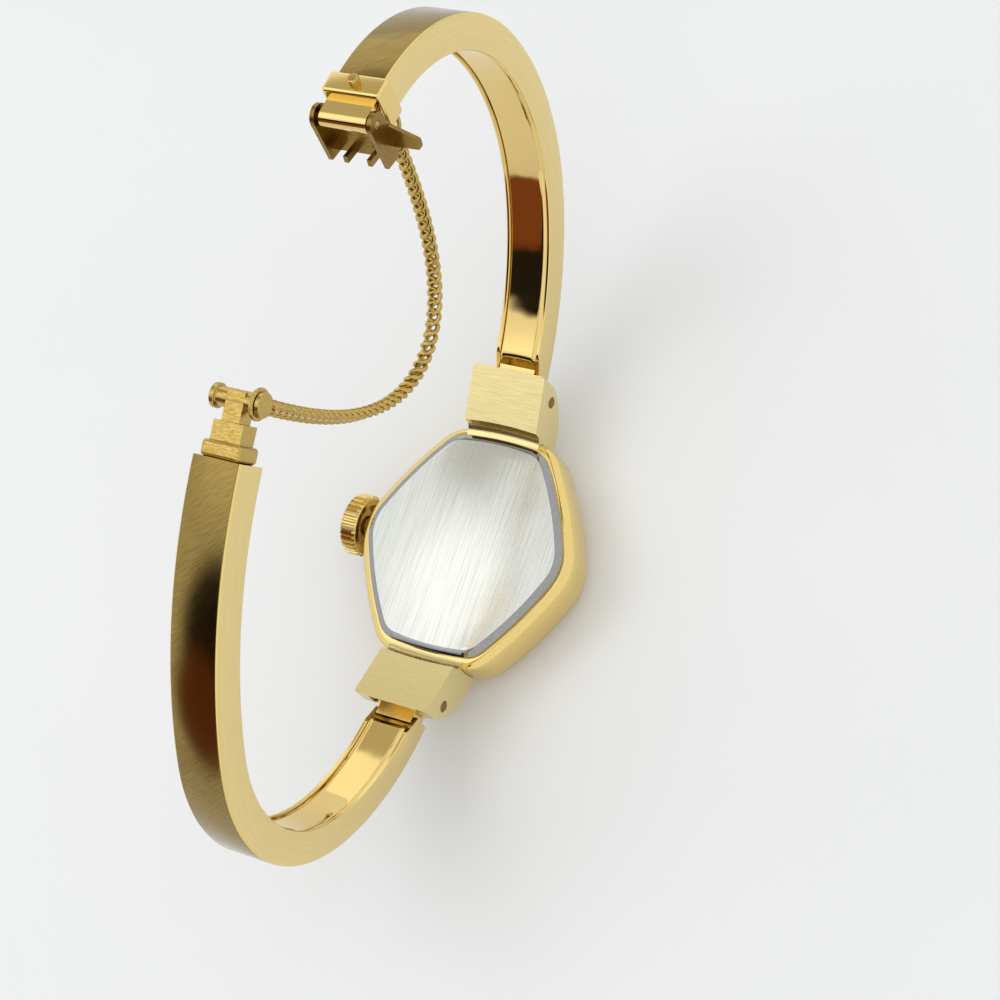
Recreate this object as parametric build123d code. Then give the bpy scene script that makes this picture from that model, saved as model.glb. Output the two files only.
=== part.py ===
from build123d import *
import os
from math import asinh, atan2, cos, cosh, degrees, hypot, radians, sin, sinh

# Frame: origin on the resting face under the centre of the case, +Z towards the wrist,
# +Y towards 12 o'clock, the crown at 3 o'clock on the -X side. The watch lies on its bezel.

# Case outline: six sides, each slightly bowed, with rounded corners
outline_nose_x = 9.45
outline_corner_x = 4.35
outline_corner_y = 9.25
long_side_bow = 0.42
short_side_bow = 0.36
nose_radius = 4.2
corner_radius = 2.4

# Case heights above the resting face
bezel_lip_height = 0.35
crystal_thickness = 0.75
gasket_height = 0.15
case_front_z = 1.60
case_back_z = 5.85
back_thickness = 0.65
back_rim_depth = 0.70
back_recess_depth = 0.25

# Case walls, measured outwards (plus) or inwards (minus) from the back's outline
body_overhang = 0.90
body_top_round = 0.78
body_front_round = 0.95
bezel_overhang = 0.30
bezel_slope_width = 1.00
bezel_slope_height = 0.75
window_inset = 1.75
crystal_inset = 0.55
collar_inset = 0.58
bore_inset = 1.30
back_bevel_width = 0.55
back_bevel_height = 0.32
back_groove_out = 0.45
back_groove_in = 0.80
back_groove_depth = 0.25
notch_width = 2.30
notch_depth = 0.45
notch_height = 0.30
fit_gap = 0.04

# Hinge blocks at 12 and 6
block_width = 6.90
block_root_y = 7.60
block_reach_y = 15.10
block_bottom_z = 2.10
block_top_z = 9.15
block_corner_round = 0.35
edge_lean_limit = 15.0
cove_offset = 1.05
cove_radius = 0.85
block_profile_shares = {
    "bottom_root": (0.0, 0.0),
    "bottom_start": (0.46, 0.10),
    "bottom_bend": (0.82, 0.34),
    "outer_start": (1.0, 0.74),
    "lip": (0.985, 1.0),
    "top_root": (0.0, 0.535),
}
pin_y = 13.75
pin_z = 6.35
pin_radius = 0.50
pin_dome = 0.22
pin_proud = 0.12
slot_side_gap = 0.12
slot_radius = 1.80
hood_inner_rise = 1.95
hood_outer_rise = 2.70
slot_floor_back = 0.75
pin_hole_gap = 0.03

# Bangle arms: three tangent bends each, from the hinge pin to the clasp end
arm_width = 4.10
arm_thickness = 2.80
shell_wall = 0.34
liner_thickness = 0.35
liner_recess = 0.14
shell_root = 1.75
liner_root = 2.35
knuckle_radius = 1.38
knuckle_length = 4.60
tongue_rise = 1.00
root_bevel_length = 2.00
root_bevel_depth = 0.80
upper_start_angle = 13.7
upper_bend_radii = (27.6, 21.0, 15.05)
upper_bend_lengths = (17.7, 16.7, 18.3)
lower_start_angle = 5.6
lower_bend_radii = (18.2, 14.5, 40.3)
lower_bend_lengths = (14.0, 20.7, 22.8)

# Snap clasp on the upper arm
plug_length = 3.00
housing_length = 1.90
housing_width = 4.90
housing_height = 3.30
housing_round = 0.30
lug_width = 3.90
lug_radius = 0.72
lug_neck_rise = 0.35
lever_pivot_reach = 1.30
lever_pivot_rise = -0.25
lever_pin_radius = 0.30
lever_width = 5.10
lever_length = 3.80
lever_plate_gap = 0.35
lever_plate_thickness = 0.34
lever_plate_start = 0.95
ring_slot_start = 1.15
ring_slot_width = 0.56
link_notch_start = 2.42
link_notch_length = 0.70
link_notch_width = 1.46
cheek_thickness = 0.35
cheek_radius = 0.95
cheek_tip_drop = 0.12
lever_hook_thickness = 0.55
lever_hook_width = 2.36
lever_hook_drop = 1.23
lever_fork_gap = 1.64
finger_length = 2.30
finger_root_width = 1.90
finger_tip_width = 0.85
finger_place = 1.75
finger_slope = 0.45
finger_thickness = 0.34
rivet_radius = 0.48
rivet_height = 0.60
rivet_round = 0.20
lever_lean = 80.0
eyelet_radius = 0.72
eyelet_hole_radius = 0.40
eyelet_thickness = 0.46
eyelet_rise = 0.30

# Catch on the lower arm
shoulder_length = 1.20
shoulder_width = 3.30
shoulder_height = 2.40
yoke_length = 1.40
yoke_width = 2.50
yoke_height = 1.70
neck_width = 1.50
neck_height = 1.40
neck_length = 3.60
bar_radius = 0.72
bar_length = 4.16
bar_head_radius = 0.90
bar_head_length = 0.40
bar_inset = 0.60

# Safety chain: a catenary of plain oval links between two rings
link_wire_radius = 0.165
link_end_radius = 0.47
link_straight = 0.48
link_play = 0.05
links_per_group = 5
groups_per_side = 4
ring_wire_radius = 0.19
upper_ring_radius = 1.05
lower_ring_radius = 1.25
chain_x = 1.47
search_steps = 45

# Movement heights
dial_z = 2.10
dial_thickness = 0.30
plate_thickness = 0.95
bridge_z = 4.58
bridge_thickness = 0.42
movement_ring_inset = 1.36
movement_ring_wall = 0.485
movement_ring_height = 2.70
pocket_depth = 0.42
pocket_radius = 2.75
arbor_radius = 0.14
jewel_radius = 0.45
jewel_height = 0.20
wheel_thickness = 0.12
wheel_gap = 0.08
wheel_step = 0.38
wheel_rim = 0.26
pivot_seat = 0.15
pinion_depth_share = 0.7
escape_depth_share = 2.2
rim_margin = 0.10
foot_width = 0.42
bridge_split = 0.14
train_bridge_apex = (-0.62, -0.62)
train_bridge_angles = (-76.0, 70.0)
train_bridge_feet = ((-58.0, -20.0), (28.0, 58.0))
barrel_bridge_angles = (70.0, 200.0)
barrel_bridge_feet = ((84.0, 100.0), (146.0, 166.0))
cock_half_angle = 14.0
pallet_cock_z = 4.10
pallet_cock_length = 2.50
bridge_screw_angles = (-48.0, 42.0, 92.0, 156.0, 242.5)
screw_head_radius = 0.26
screw_head_height = 0.20
screw_slot_width = 0.08

# Going train: tooth counts and centres
barrel_teeth = 72
barrel_centre = (-1.92, 2.74)
centre_pinion_leaves = 12
centre_teeth = 64
third_centre = (2.48, 0.44)
third_leaves = 8
third_teeth = 60
fourth_centre = (3.04, -1.66)
fourth_leaves = 8
fourth_teeth = 60
escape_centre = (1.32, -2.66)
escape_leaves = 6
escape_teeth = 15
escape_radius = 0.92
pallet_centre = (0.79, -3.79)
pallet_span = 0.62
pallet_lever_width = 0.16
pallet_stone_length = 0.38
pallet_fork_reach = 2.15
balance_centre = (-1.78, -3.42)
balance_radius = 2.30
balance_rim_width = 0.28
balance_rim_height = 0.26
hairspring_turns = 7
hairspring_inner = 0.30
hairspring_pitch = 0.115
hairspring_wire = 0.025
hairspring_height = 0.07

# Barrel and winding work
drum_radius = 2.52
drum_height = 0.62
drum_wall = 0.12
barrel_arbor_radius = 0.55
mainspring_turns = 6
mainspring_thickness = 0.07
barrel_pivot_radius = 0.30
wheel_lift = 0.05
stem_z = 3.72
stem_radius = 0.34
stem_inner_x = 4.05
winding_pinion_radius = 0.88
winding_pinion_teeth = 12
winding_pinion_length = 0.75
winding_pinion_x = 6.15
sliding_pinion_length = 0.80
sliding_pinion_x = 5.05
crown_wheel_centre = (-4.95, 0.15)
crown_wheel_radius = 1.18
crown_wheel_teeth = 24
ratchet_radius = 2.72
ratchet_teeth = 60
ratchet_height = 0.14

click_angle = 20.0
click_turn = 35.0
click_length = 0.90
click_width = 0.22

# Motion work under the dial and the hands
cannon_leaves = 10
cannon_bore = 0.17
hour_teeth = 32
minute_teeth = 30
minute_leaves = 8
minute_centre = (-1.22, -0.45)
motion_height = 0.12
motion_rim = 0.22
cannon_clearance = 0.18
cannon_pipe_radius = 0.26
hour_pipe_radius = 0.42
hour_pipe_reach = 0.42
hour_hand_length = 3.60
minute_hand_length = 5.60
hand_width = 0.46
hand_thickness = 0.10
hand_tail = 0.90
hand_boss_radius = 0.58
hour_hand_angle = 40.0
minute_hand_angle = -50.0
marker_radius = 6.05
marker_length = 1.05
marker_width = 0.26
marker_height = 0.12

# Crown
crown_radius = 2.72
crown_length = 1.55
crown_flutes = 33
flute_depth = 0.20
crown_gap = 0.12
crown_recess_depth = 0.55
crown_recess_radius = 1.95
crown_tube_radius = 0.72
crown_edge_round = 0.25
crown_boss_radius = 0.95
crown_tube_reach = 0.08
crown_flute_shares = ((0.0, 0.0), (0.30, 0.0), (0.45, 1.0), (0.85, 1.0))
centre_post = 0.62
cut_over = 0.50

side_slant = atan2(outline_nose_x - outline_corner_x, outline_corner_y)
side_distance = outline_nose_x * cos(side_slant) + long_side_bow
movement_radius = side_distance - movement_ring_inset - movement_ring_wall

parts = {}


def polar(radius, angle):
    """Point at a radius and an angle in degrees."""
    return (radius * cos(radians(angle)), radius * sin(radians(angle)))


def outline(grow):
    """Six-sided case outline, moved outwards by grow."""
    nose = outline_nose_x + grow / cos(side_slant)
    corner_x = outline_corner_x + grow * (1 - sin(side_slant)) / cos(side_slant)
    corner_y = outline_corner_y + grow
    corners = [(nose, 0), (corner_x, corner_y), (-corner_x, corner_y),
               (-nose, 0), (-corner_x, -corner_y), (corner_x, -corner_y)]
    bows = [long_side_bow, short_side_bow, long_side_bow] * 2
    edges = []
    for start, end, bow in zip(corners, corners[1:] + corners[:1], bows):
        middle_x = (start[0] + end[0]) / 2
        middle_y = (start[1] + end[1]) / 2
        run = hypot(end[0] - start[0], end[1] - start[1])
        normal_x = (end[1] - start[1]) / run
        normal_y = (start[0] - end[0]) / run
        middle = (middle_x + bow * normal_x, middle_y + bow * normal_y)
        edges.append(ThreePointArc(start, middle, end))
    face = make_face(edges)
    noses = [v for v in face.vertices() if abs(v.Y) < corner_y / 2]
    face = fillet(noses, nose_radius + grow)
    bends = [v for v in face.vertices() if abs(v.Y) > corner_y * 0.9]
    return fillet(bends, corner_radius + grow)


def slab(grow, bottom, top):
    """Solid of the case outline between two heights."""
    return Pos(0, 0, bottom) * extrude(outline(grow), top - bottom)


def disc(centre, radius, bottom, top):
    """Upright cylinder between two heights."""
    body = Cylinder(radius, top - bottom, align=(Align.CENTER, Align.CENTER, Align.MIN))
    return Pos(centre[0], centre[1], bottom) * body


def bar_x(radius, start_x, end_x, y, z):
    """Cylinder along X between two places."""
    body = Cylinder(radius, end_x - start_x, rotation=(0, 90, 0))
    return Pos((start_x + end_x) / 2, y, z) * body


def brick(size_x, size_y, size_z, centre):
    """Box with its centre at a point."""
    return Pos(*centre) * Box(size_x, size_y, size_z)


def cogged(teeth, radius, thickness, bore, base_z, centre, depth_share=0.9):
    """Toothed wheel with a centre hole, its teeth as pointed steps round the rim."""
    module = 2 * radius / teeth
    tip = radius + depth_share * module / 2
    root = radius - depth_share * module
    points = []
    for tooth in range(teeth):
        angle = 360 * tooth / teeth
        points.append(polar(tip, angle))
        points.append(polar(root, angle + 180 / teeth))
    face = make_face(Polyline(*points, close=True)) - Circle(bore)
    return Pos(centre[0], centre[1], base_z) * extrude(face, thickness)


def spoked(teeth, radius, thickness, base_z, centre, rim, spokes=4):
    """Toothed wheel with open spaces between its spokes."""
    wheel = cogged(teeth, radius, thickness, arbor_radius, base_z, centre)
    hub = 3 * arbor_radius
    ring = Circle(radius - rim) - Circle(hub)
    arms = [Rot(0, 0, 180 * turn / spokes) * Rectangle(2 * radius, rim) for turn in range(spokes)]
    spaces = ring - arms
    return wheel - Pos(centre[0], centre[1], base_z) * extrude(spaces, thickness)


def sector(apex, start_angle, end_angle, radius):
    """Slice of the movement's disc between two rays from a point."""
    far = 2 * radius
    steps = 4
    points = [apex]
    for step in range(steps + 1):
        angle = start_angle + (end_angle - start_angle) * step / steps
        reach = polar(far, angle)
        points.append((apex[0] + reach[0], apex[1] + reach[1]))
    return make_face(Polyline(*points, close=True)) & Circle(radius)


def spiral(turns, start_radius, pitch, wire, height, base_z, centre, stations_per_turn=24):
    """Flat spiral strip, growing outwards by one pitch a turn."""
    inner = []
    outer = []
    for step in range(turns * stations_per_turn + 1):
        turn = step / stations_per_turn
        radius = start_radius + pitch * turn
        inner.append(polar(radius, 360 * turn))
        outer.append(polar(radius + wire, 360 * turn))
    edges = [Spline(*inner), Line(inner[-1], outer[-1]), Spline(*outer), Line(outer[0], inner[0])]
    return Pos(centre[0], centre[1], base_z) * extrude(make_face(edges), height)


class Arm:
    """Bangle arm on the +Y side, as three tangent bends from the hinge pin."""

    def __init__(self, start_angle, radii, lengths):
        self.radii = radii
        self.lengths = lengths
        self.nodes = [(pin_y, pin_z, start_angle)]
        for radius, length in zip(radii, lengths):
            self.nodes.append(self.step(self.nodes[-1], radius, length))
        self.total = sum(lengths)

    def step(self, node, radius, length):
        """Follow one bend, turning towards the middle of the bangle."""
        y, z, angle = node
        centre_y = y - radius * sin(radians(angle))
        centre_z = z + radius * cos(radians(angle))
        turned = angle + degrees(length / radius)
        return (centre_y + radius * sin(radians(turned)), centre_z - radius * cos(radians(turned)), turned)

    def node(self, place):
        """Position and direction at a length along the arm."""
        left = place
        for start, radius, length in zip(self.nodes, self.radii, self.lengths):
            if left <= length:
                return self.step(start, radius, left)
            left -= length
        return self.step(self.nodes[-1], self.radii[-1], left)

    def point(self, place, inward):
        """Point at a length along the arm and a distance towards the wrist."""
        y, z, angle = self.node(place)
        return (y - inward * sin(radians(angle)), z + inward * cos(radians(angle)))

    def edge(self, start, end, inward):
        """Tangent arcs at one distance from the middle line."""
        stops = [0]
        for length in self.lengths:
            stops.append(stops[-1] + length)
        marks = [start] + [stop for stop in stops[1:-1] if start < stop < end] + [end]
        arcs = []
        for low, high in zip(marks, marks[1:]):
            middle = (low + high) / 2
            arcs.append(ThreePointArc(self.point(low, inward), self.point(middle, inward),
                                      self.point(high, inward)))
        return arcs

    def strip(self, start, end, low, high, width):
        """Bent bar between two lengths and two distances, centred on the width."""
        edges = self.edge(start, end, low) + self.edge(start, end, high)
        edges.append(Line(self.point(start, low), self.point(start, high)))
        edges.append(Line(self.point(end, low), self.point(end, high)))
        return extrude(Plane.YZ * make_face(edges), width / 2, both=True)

    def frame(self, place):
        """Plane with X across the arm, Y along it and Z towards the wrist."""
        y, z, angle = self.node(place)
        return Plane(origin=(0, y, z), x_dir=(1, 0, 0),
                     z_dir=(0, -sin(radians(angle)), cos(radians(angle))))


upper_arm = Arm(upper_start_angle, upper_bend_radii, upper_bend_lengths)
lower_arm = Arm(lower_start_angle, lower_bend_radii, lower_bend_lengths)


def to_lower(shape):
    """Mirror a piece made on the 12 o'clock side to the 6 o'clock side."""
    return mirror(shape, Plane.XZ)


# Case

plate_z = dial_z + dial_thickness
plate_top = plate_z + plate_thickness
bridge_top = bridge_z + bridge_thickness
back_top = case_back_z + back_thickness
crystal_back = bezel_lip_height + crystal_thickness
collar_z = crystal_back + gasket_height


def case_body():
    """Gold case middle before it is bored, with its bulging side wall."""
    body = slab(body_overhang, case_front_z, case_back_z)
    body = fillet(body.edges().group_by(Axis.Z)[-1], body_top_round)
    return fillet(body.edges().group_by(Axis.Z)[0], body_front_round)


def make_case():
    """Bezel, crystal, case middle, back and their gaskets."""
    slope = loft([outline(bezel_overhang - bezel_slope_width),
                  Pos(0, 0, bezel_slope_height) * outline(bezel_overhang)], ruled=True)
    rim = slope + slab(bezel_overhang, bezel_slope_height, case_front_z)
    rim -= slab(-window_inset, -cut_over, bezel_lip_height + cut_over)
    rim -= slab(-crystal_inset, bezel_lip_height, case_front_z + cut_over)
    parts["bezel"] = rim
    parts["crystal"] = slab(-crystal_inset - fit_gap, bezel_lip_height, crystal_back)
    front_seal = slab(-crystal_inset - fit_gap, crystal_back, collar_z)
    front_seal -= slab(-window_inset, crystal_back - cut_over, collar_z + cut_over)
    groove = slab(-back_groove_out, case_back_z - back_groove_depth, case_back_z)
    groove -= slab(-back_groove_in, case_back_z - back_groove_depth - cut_over, case_back_z + cut_over)
    parts["gaskets"] = Compound([front_seal.solid(), groove.solid()])
    middle = case_body() + slab(-collar_inset, collar_z, case_front_z)
    middle -= slab(-bore_inset, collar_z - cut_over, case_back_z + cut_over)
    middle -= groove
    middle -= bar_x(crown_tube_radius, -outline_nose_x - body_overhang - cut_over, 0, 0, stem_z)
    parts["case_middle"] = middle
    back = slab(0, case_back_z, back_top)
    bevel = slab(0, back_top - back_bevel_height, back_top)
    bevel -= loft([Pos(0, 0, back_top - back_bevel_height) * outline(0),
                   Pos(0, 0, back_top) * outline(-back_bevel_width)], ruled=True)
    back -= bevel
    back -= slab(-bore_inset - back_bevel_width, case_back_z - cut_over, case_back_z + back_recess_depth)
    snap = slab(-bore_inset - fit_gap, case_back_z - back_rim_depth, case_back_z)
    snap -= slab(-bore_inset - back_bevel_width, case_back_z - back_rim_depth - cut_over,
                 case_back_z + cut_over)
    back += snap
    notch_y = -outline_corner_y - short_side_bow
    back -= brick(notch_width, 2 * notch_depth, 2 * notch_height, (0, notch_y, case_back_z))
    parts["case_back"] = back


# Hinge blocks and pins


def block_point(name):
    """Point of the hinge block's side outline, from its share of length and height."""
    along, up = block_profile_shares[name]
    return (block_root_y + along * (block_reach_y - block_root_y),
            block_bottom_z + up * (block_top_z - block_bottom_z))


def hinge_block():
    """Hooded block at 12 o'clock that carries one arm."""
    edges = [
        Line(block_point("bottom_root"), block_point("bottom_start")),
        ThreePointArc(block_point("bottom_start"), block_point("bottom_bend"),
                      block_point("outer_start")),
        Line(block_point("outer_start"), block_point("lip")),
        Line(block_point("lip"), block_point("top_root")),
        Line(block_point("top_root"), block_point("bottom_root")),
    ]
    block = extrude(Plane.YZ * make_face(edges), block_width / 2, both=True)
    ends = block.edges().filter_by(Axis.Z, tolerance=edge_lean_limit).group_by(Axis.Y)[-1]
    block = fillet(ends, block_corner_round)
    cove = slab(cove_offset, case_back_z, block_top_z + cut_over)
    cove = fillet(cove.edges().group_by(Axis.Z)[0], cove_radius)
    block -= cove
    block -= case_body()
    block -= slab(body_overhang - body_top_round, case_front_z, block_top_z + cut_over)
    slot_width = arm_width + 2 * slot_side_gap
    reach = block_reach_y + cut_over
    hood_rise = hood_inner_rise + (hood_outer_rise - hood_inner_rise) * (reach - pin_y) / (
        block_reach_y - pin_y)
    opening = [(pin_y - slot_floor_back, block_bottom_z - cut_over),
               (reach, block_bottom_z - cut_over), (reach, pin_z + hood_rise),
               (pin_y, pin_z + hood_inner_rise), (pin_y - slot_floor_back, pin_z)]
    slot = extrude(Plane.YZ * make_face(Polyline(*opening, close=True)), slot_width / 2, both=True)
    slot += bar_x(slot_radius, -slot_width / 2, slot_width / 2, pin_y, pin_z)
    block -= slot
    return block - bar_x(pin_radius, -block_width, block_width, pin_y, pin_z)


def hinge_pin():
    """Hinge pin with domed ends that stand a little proud of the block."""
    reach = block_width / 2 + pin_proud
    pin = bar_x(pin_radius, -reach, reach, pin_y, pin_z)
    return fillet(pin.edges(), pin_dome)


def make_hinges():
    """Both hinge blocks and both pins."""
    block = hinge_block()
    pin = hinge_pin()
    parts["upper_hinge_block"] = block
    parts["lower_hinge_block"] = to_lower(block)
    parts["hinge_pins"] = Compound([pin.solid(), to_lower(pin).solid()])


# Bangle arms

outside = -arm_thickness / 2
liner_top = arm_thickness / 2 - liner_recess
liner_bottom = liner_top - liner_thickness
tube_width = arm_width - 2 * shell_wall


def root_bevel(arm):
    """Wedge taken off the arm's wrist side where it swings under the hood."""
    top = arm_thickness / 2
    corners = [arm.point(shell_root + root_bevel_length, top),
               arm.point(shell_root - cut_over, top + cut_over),
               arm.point(shell_root - cut_over, top - root_bevel_depth - cut_over / 4)]
    return extrude(Plane.YZ * make_face(Polyline(*corners, close=True)), arm_width, both=True)


def arm_shell(arm):
    """Channel with the brushed outer face and both side walls."""
    body = arm.strip(shell_root, arm.total, outside, arm_thickness / 2, arm_width)
    hollow = arm.strip(shell_root - cut_over, arm.total + cut_over, outside + shell_wall,
                       arm_thickness / 2 + cut_over, tube_width)
    return body - hollow - root_bevel(arm)


def arm_liner(arm):
    """Polished plate that closes the channel on the wrist side."""
    plate = arm.strip(liner_root, arm.total, liner_bottom, liner_top, tube_width - 2 * fit_gap)
    return plate - root_bevel(arm)


def arm_knuckle(arm):
    """Solid root of the arm that turns on the hinge pin."""
    width = tube_width - 2 * fit_gap
    core = arm.strip(0, knuckle_length, outside + shell_wall + fit_gap, tongue_rise - fit_gap, width)
    core &= arm.strip(0, knuckle_length, outside + shell_wall + fit_gap, liner_bottom - fit_gap, width)
    eye = bar_x(knuckle_radius, -arm_width / 2, arm_width / 2, pin_y, pin_z)
    eye -= arm.strip(shell_root - fit_gap, knuckle_length, outside - cut_over,
                     arm_thickness, 2 * arm_width)
    body = core + eye
    return body - bar_x(pin_radius + pin_hole_gap, -block_width, block_width, pin_y, pin_z)


def make_arms():
    """Shell, liner and knuckle of each arm."""
    parts["upper_arm_shell"] = arm_shell(upper_arm)
    parts["upper_arm_liner"] = arm_liner(upper_arm)
    parts["upper_hinge_knuckle"] = arm_knuckle(upper_arm)
    parts["lower_arm_shell"] = to_lower(arm_shell(lower_arm))
    parts["lower_arm_liner"] = to_lower(arm_liner(lower_arm))
    parts["lower_hinge_knuckle"] = to_lower(arm_knuckle(lower_arm))


# Clasp and catch


def local_brick(size_x, size_y, size_z, x, y, z):
    """Box in an arm's own frame, from y onwards, centred across and through."""
    return Pos(x, y + size_y / 2, z) * Box(size_x, size_y, size_z)


def end_plug(arm):
    """Bent solid end that is pressed into the arm's tube."""
    bottom = outside + shell_wall + fit_gap
    return arm.strip(arm.total - plug_length, arm.total, bottom, liner_bottom - fit_gap,
                     tube_width - 2 * fit_gap)


lever_y = housing_length + lever_pivot_reach
lever_z = lever_pivot_rise


def clasp_housing():
    """End block of the upper arm with the lever's lug and the chain's eyelet."""
    block = local_brick(housing_width, housing_length, housing_height, 0, 0, 0)
    body = fillet(block.edges(), housing_round)
    body += bar_x(lug_radius, -lug_width / 2, lug_width / 2, lever_y, lever_z)
    neck_height = lug_radius + lug_neck_rise
    body += local_brick(lug_width, housing_length / 2 + lever_pivot_reach, neck_height, 0,
                        housing_length / 2, lever_z + lug_neck_rise - neck_height / 2)
    eyelet_z = housing_height / 2 + eyelet_rise
    eyelet = bar_x(eyelet_radius, chain_x - eyelet_thickness / 2, chain_x + eyelet_thickness / 2,
                   housing_length / 2, eyelet_z)
    body += eyelet
    body -= bar_x(eyelet_hole_radius, chain_x - eyelet_thickness, chain_x + eyelet_thickness,
                  housing_length / 2, eyelet_z)
    return body - bar_x(lever_pin_radius, -housing_width, housing_width, lever_y, lever_z)


def clasp_lever():
    """Snap lever with two cheeks, a forked hook and a thumb finger, at its open lean.

    The cheeks turn on the pin beside the lug and the plate joins them over the lug. A slot
    in the plate clears the chain's ring on the catch bar, and a notch its first link.
    """
    low = lever_z + lug_radius + lever_plate_gap
    high = low + lever_plate_thickness
    end = lever_y + lever_length
    corners = [(lever_y, lever_z - cheek_radius), (end, lever_z - cheek_tip_drop), (end, high),
               (lever_y + lever_plate_start, high), (lever_y, lever_z + cheek_radius)]
    side = extrude(Plane.YZ * make_face(Polyline(*corners, close=True)), cheek_thickness / 2, both=True)
    side += bar_x(cheek_radius, -cheek_thickness / 2, cheek_thickness / 2, lever_y, lever_z)
    cheek_x = (lever_width - cheek_thickness) / 2
    middle_z = (low + high) / 2
    lever = local_brick(lever_width, lever_length - lever_plate_start, lever_plate_thickness, 0,
                        lever_y + lever_plate_start, middle_z)
    lever -= local_brick(ring_slot_width, lever_length, lever_plate_thickness, chain_x,
                         lever_y + ring_slot_start, middle_z)
    lever -= local_brick(link_notch_width, link_notch_length, lever_plate_thickness, chain_x,
                         lever_y + link_notch_start, middle_z)
    lever += Pos(-cheek_x, 0, 0) * side
    lever += Pos(cheek_x, 0, 0) * side
    hook_y = end - lever_hook_thickness
    hook = local_brick(lever_hook_width, lever_hook_thickness, lever_hook_drop, 0, hook_y,
                       low - lever_hook_drop / 2)
    hook -= local_brick(lever_fork_gap, lever_hook_thickness, lever_hook_drop, 0, hook_y,
                        low - lever_hook_drop / 2)
    lever += hook
    root_x = lever_width / 2 - cheek_thickness / 2
    tip_x = lever_width / 2 + finger_length
    root_y = lever_y + finger_place
    tip_y = root_y + finger_slope
    points = [(root_x, root_y - finger_root_width / 2), (tip_x, tip_y - finger_tip_width / 2),
              (tip_x, tip_y + finger_tip_width / 2), (root_x, root_y + finger_root_width / 2)]
    finger = Pos(0, 0, low) * extrude(make_face(Polyline(*points, close=True)), finger_thickness)
    tip = finger.edges().filter_by(Axis.Z).group_by(Axis.X)[-1]
    lever += fillet(tip, finger_tip_width / 3)
    lever -= bar_x(lever_pin_radius + fit_gap, -housing_width, housing_width, lever_y, lever_z)
    pivot = Pos(0, lever_y, lever_z)
    return pivot * Rot(lever_lean, 0, 0) * pivot.inverse() * lever


def make_clasp():
    """Clasp pieces on the upper arm and the catch on the lower arm."""
    seat = upper_arm.frame(upper_arm.total).location
    parts["clasp_housing"] = seat * clasp_housing() + end_plug(upper_arm)
    parts["clasp_lever"] = seat * clasp_lever()
    pin = bar_x(lever_pin_radius, -lever_width / 2, lever_width / 2, lever_y, lever_z)
    rivet_z = -housing_height / 2
    rivet = disc((0, housing_length / 2), rivet_radius, rivet_z - rivet_height, rivet_z)
    rivet = fillet(rivet.edges().group_by(Axis.Z)[0], rivet_round)
    parts["clasp_pins"] = Compound([(seat * pin).solid(), (seat * rivet).solid()])
    shoulder = local_brick(shoulder_width, shoulder_length, shoulder_height, 0, 0, 0)
    shoulder = fillet(shoulder.edges(), housing_round)
    catch = shoulder
    catch += local_brick(yoke_width, shoulder_length / 2 + yoke_length, yoke_height, 0,
                         shoulder_length / 2, 0)
    catch += local_brick(neck_width, shoulder_length / 2 + neck_length, neck_height, 0,
                         shoulder_length / 2, 0)
    bar_y = shoulder_length + neck_length - bar_inset
    catch -= bar_x(bar_radius, -bar_length, bar_length, bar_y, 0)
    bar = bar_x(bar_radius, -bar_length / 2, bar_length / 2, bar_y, 0)
    for side in (-1, 1):
        head = bar_x(bar_head_radius, -bar_head_length / 2, bar_head_length / 2, bar_y, 0)
        bar += Pos(side * (bar_length - bar_head_length) / 2, 0, 0) * head
    lower_seat = lower_arm.frame(lower_arm.total).location
    parts["catch_neck"] = to_lower(lower_seat * catch + end_plug(lower_arm))
    parts["catch_bar"] = to_lower(lower_seat * bar)


# Safety chain

link_pitch = link_straight + 2 * (link_end_radius - link_wire_radius) - link_play
upper_ring_pitch = 2 * upper_ring_radius - link_wire_radius - ring_wire_radius / 2
lower_ring_reach = lower_ring_radius - ring_wire_radius - bar_radius
lower_ring_pitch = lower_ring_reach + lower_ring_radius - (ring_wire_radius + link_wire_radius) / 2


def world_point(arm, along, rise):
    """Place of a point in an arm's end frame, as y and z."""
    return arm.point(arm.total, rise)[0] + along * cos(radians(arm.nodes[-1][2])), (
        arm.point(arm.total, rise)[1] + along * sin(radians(arm.nodes[-1][2])))


def chain_ends():
    """Hole of the upper eyelet and middle of the catch bar, as y and z."""
    start = world_point(upper_arm, housing_length / 2, housing_height / 2 + eyelet_rise)
    low_y, low_z = world_point(lower_arm, shoulder_length + neck_length - bar_inset, 0)
    return start, (-low_y, low_z)


def hanging_nodes(shape):
    """Walk down a catenary of one shape from the upper end, one pitch at a time."""
    start, end = chain_ends()
    span = start[0] - end[0]
    rise = start[1] - end[1]
    low = (start[0] + end[0]) / 2
    ratio = rise / (2 * shape * sinh(span / (2 * shape)))
    lowest = low - shape * asinh(ratio)
    floor = start[1] - shape * cosh((start[0] - lowest) / shape)
    pitches = [upper_ring_pitch] + [link_pitch] * (2 * links_per_group * groups_per_side)
    pitches.append(lower_ring_pitch)
    nodes = [start]
    for pitch in pitches:
        near, far = 0, pitch
        for _ in range(search_steps):
            middle = (near + far) / 2
            y = nodes[-1][0] - middle
            z = floor + shape * cosh((y - lowest) / shape)
            if hypot(middle, z - nodes[-1][1]) < pitch:
                near = middle
            else:
                far = middle
        nodes.append((y, z))
    return nodes


def chain_nodes():
    """Joints of the hanging chain, with the shape that ends on the catch bar."""
    end = chain_ends()[1]
    slack, taut = link_pitch, link_pitch * links_per_group * groups_per_side
    for _ in range(search_steps):
        shape = (slack + taut) / 2
        if hanging_nodes(shape)[-1][0] > end[0]:
            slack = shape
        else:
            taut = shape
    return hanging_nodes(shape)


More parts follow.
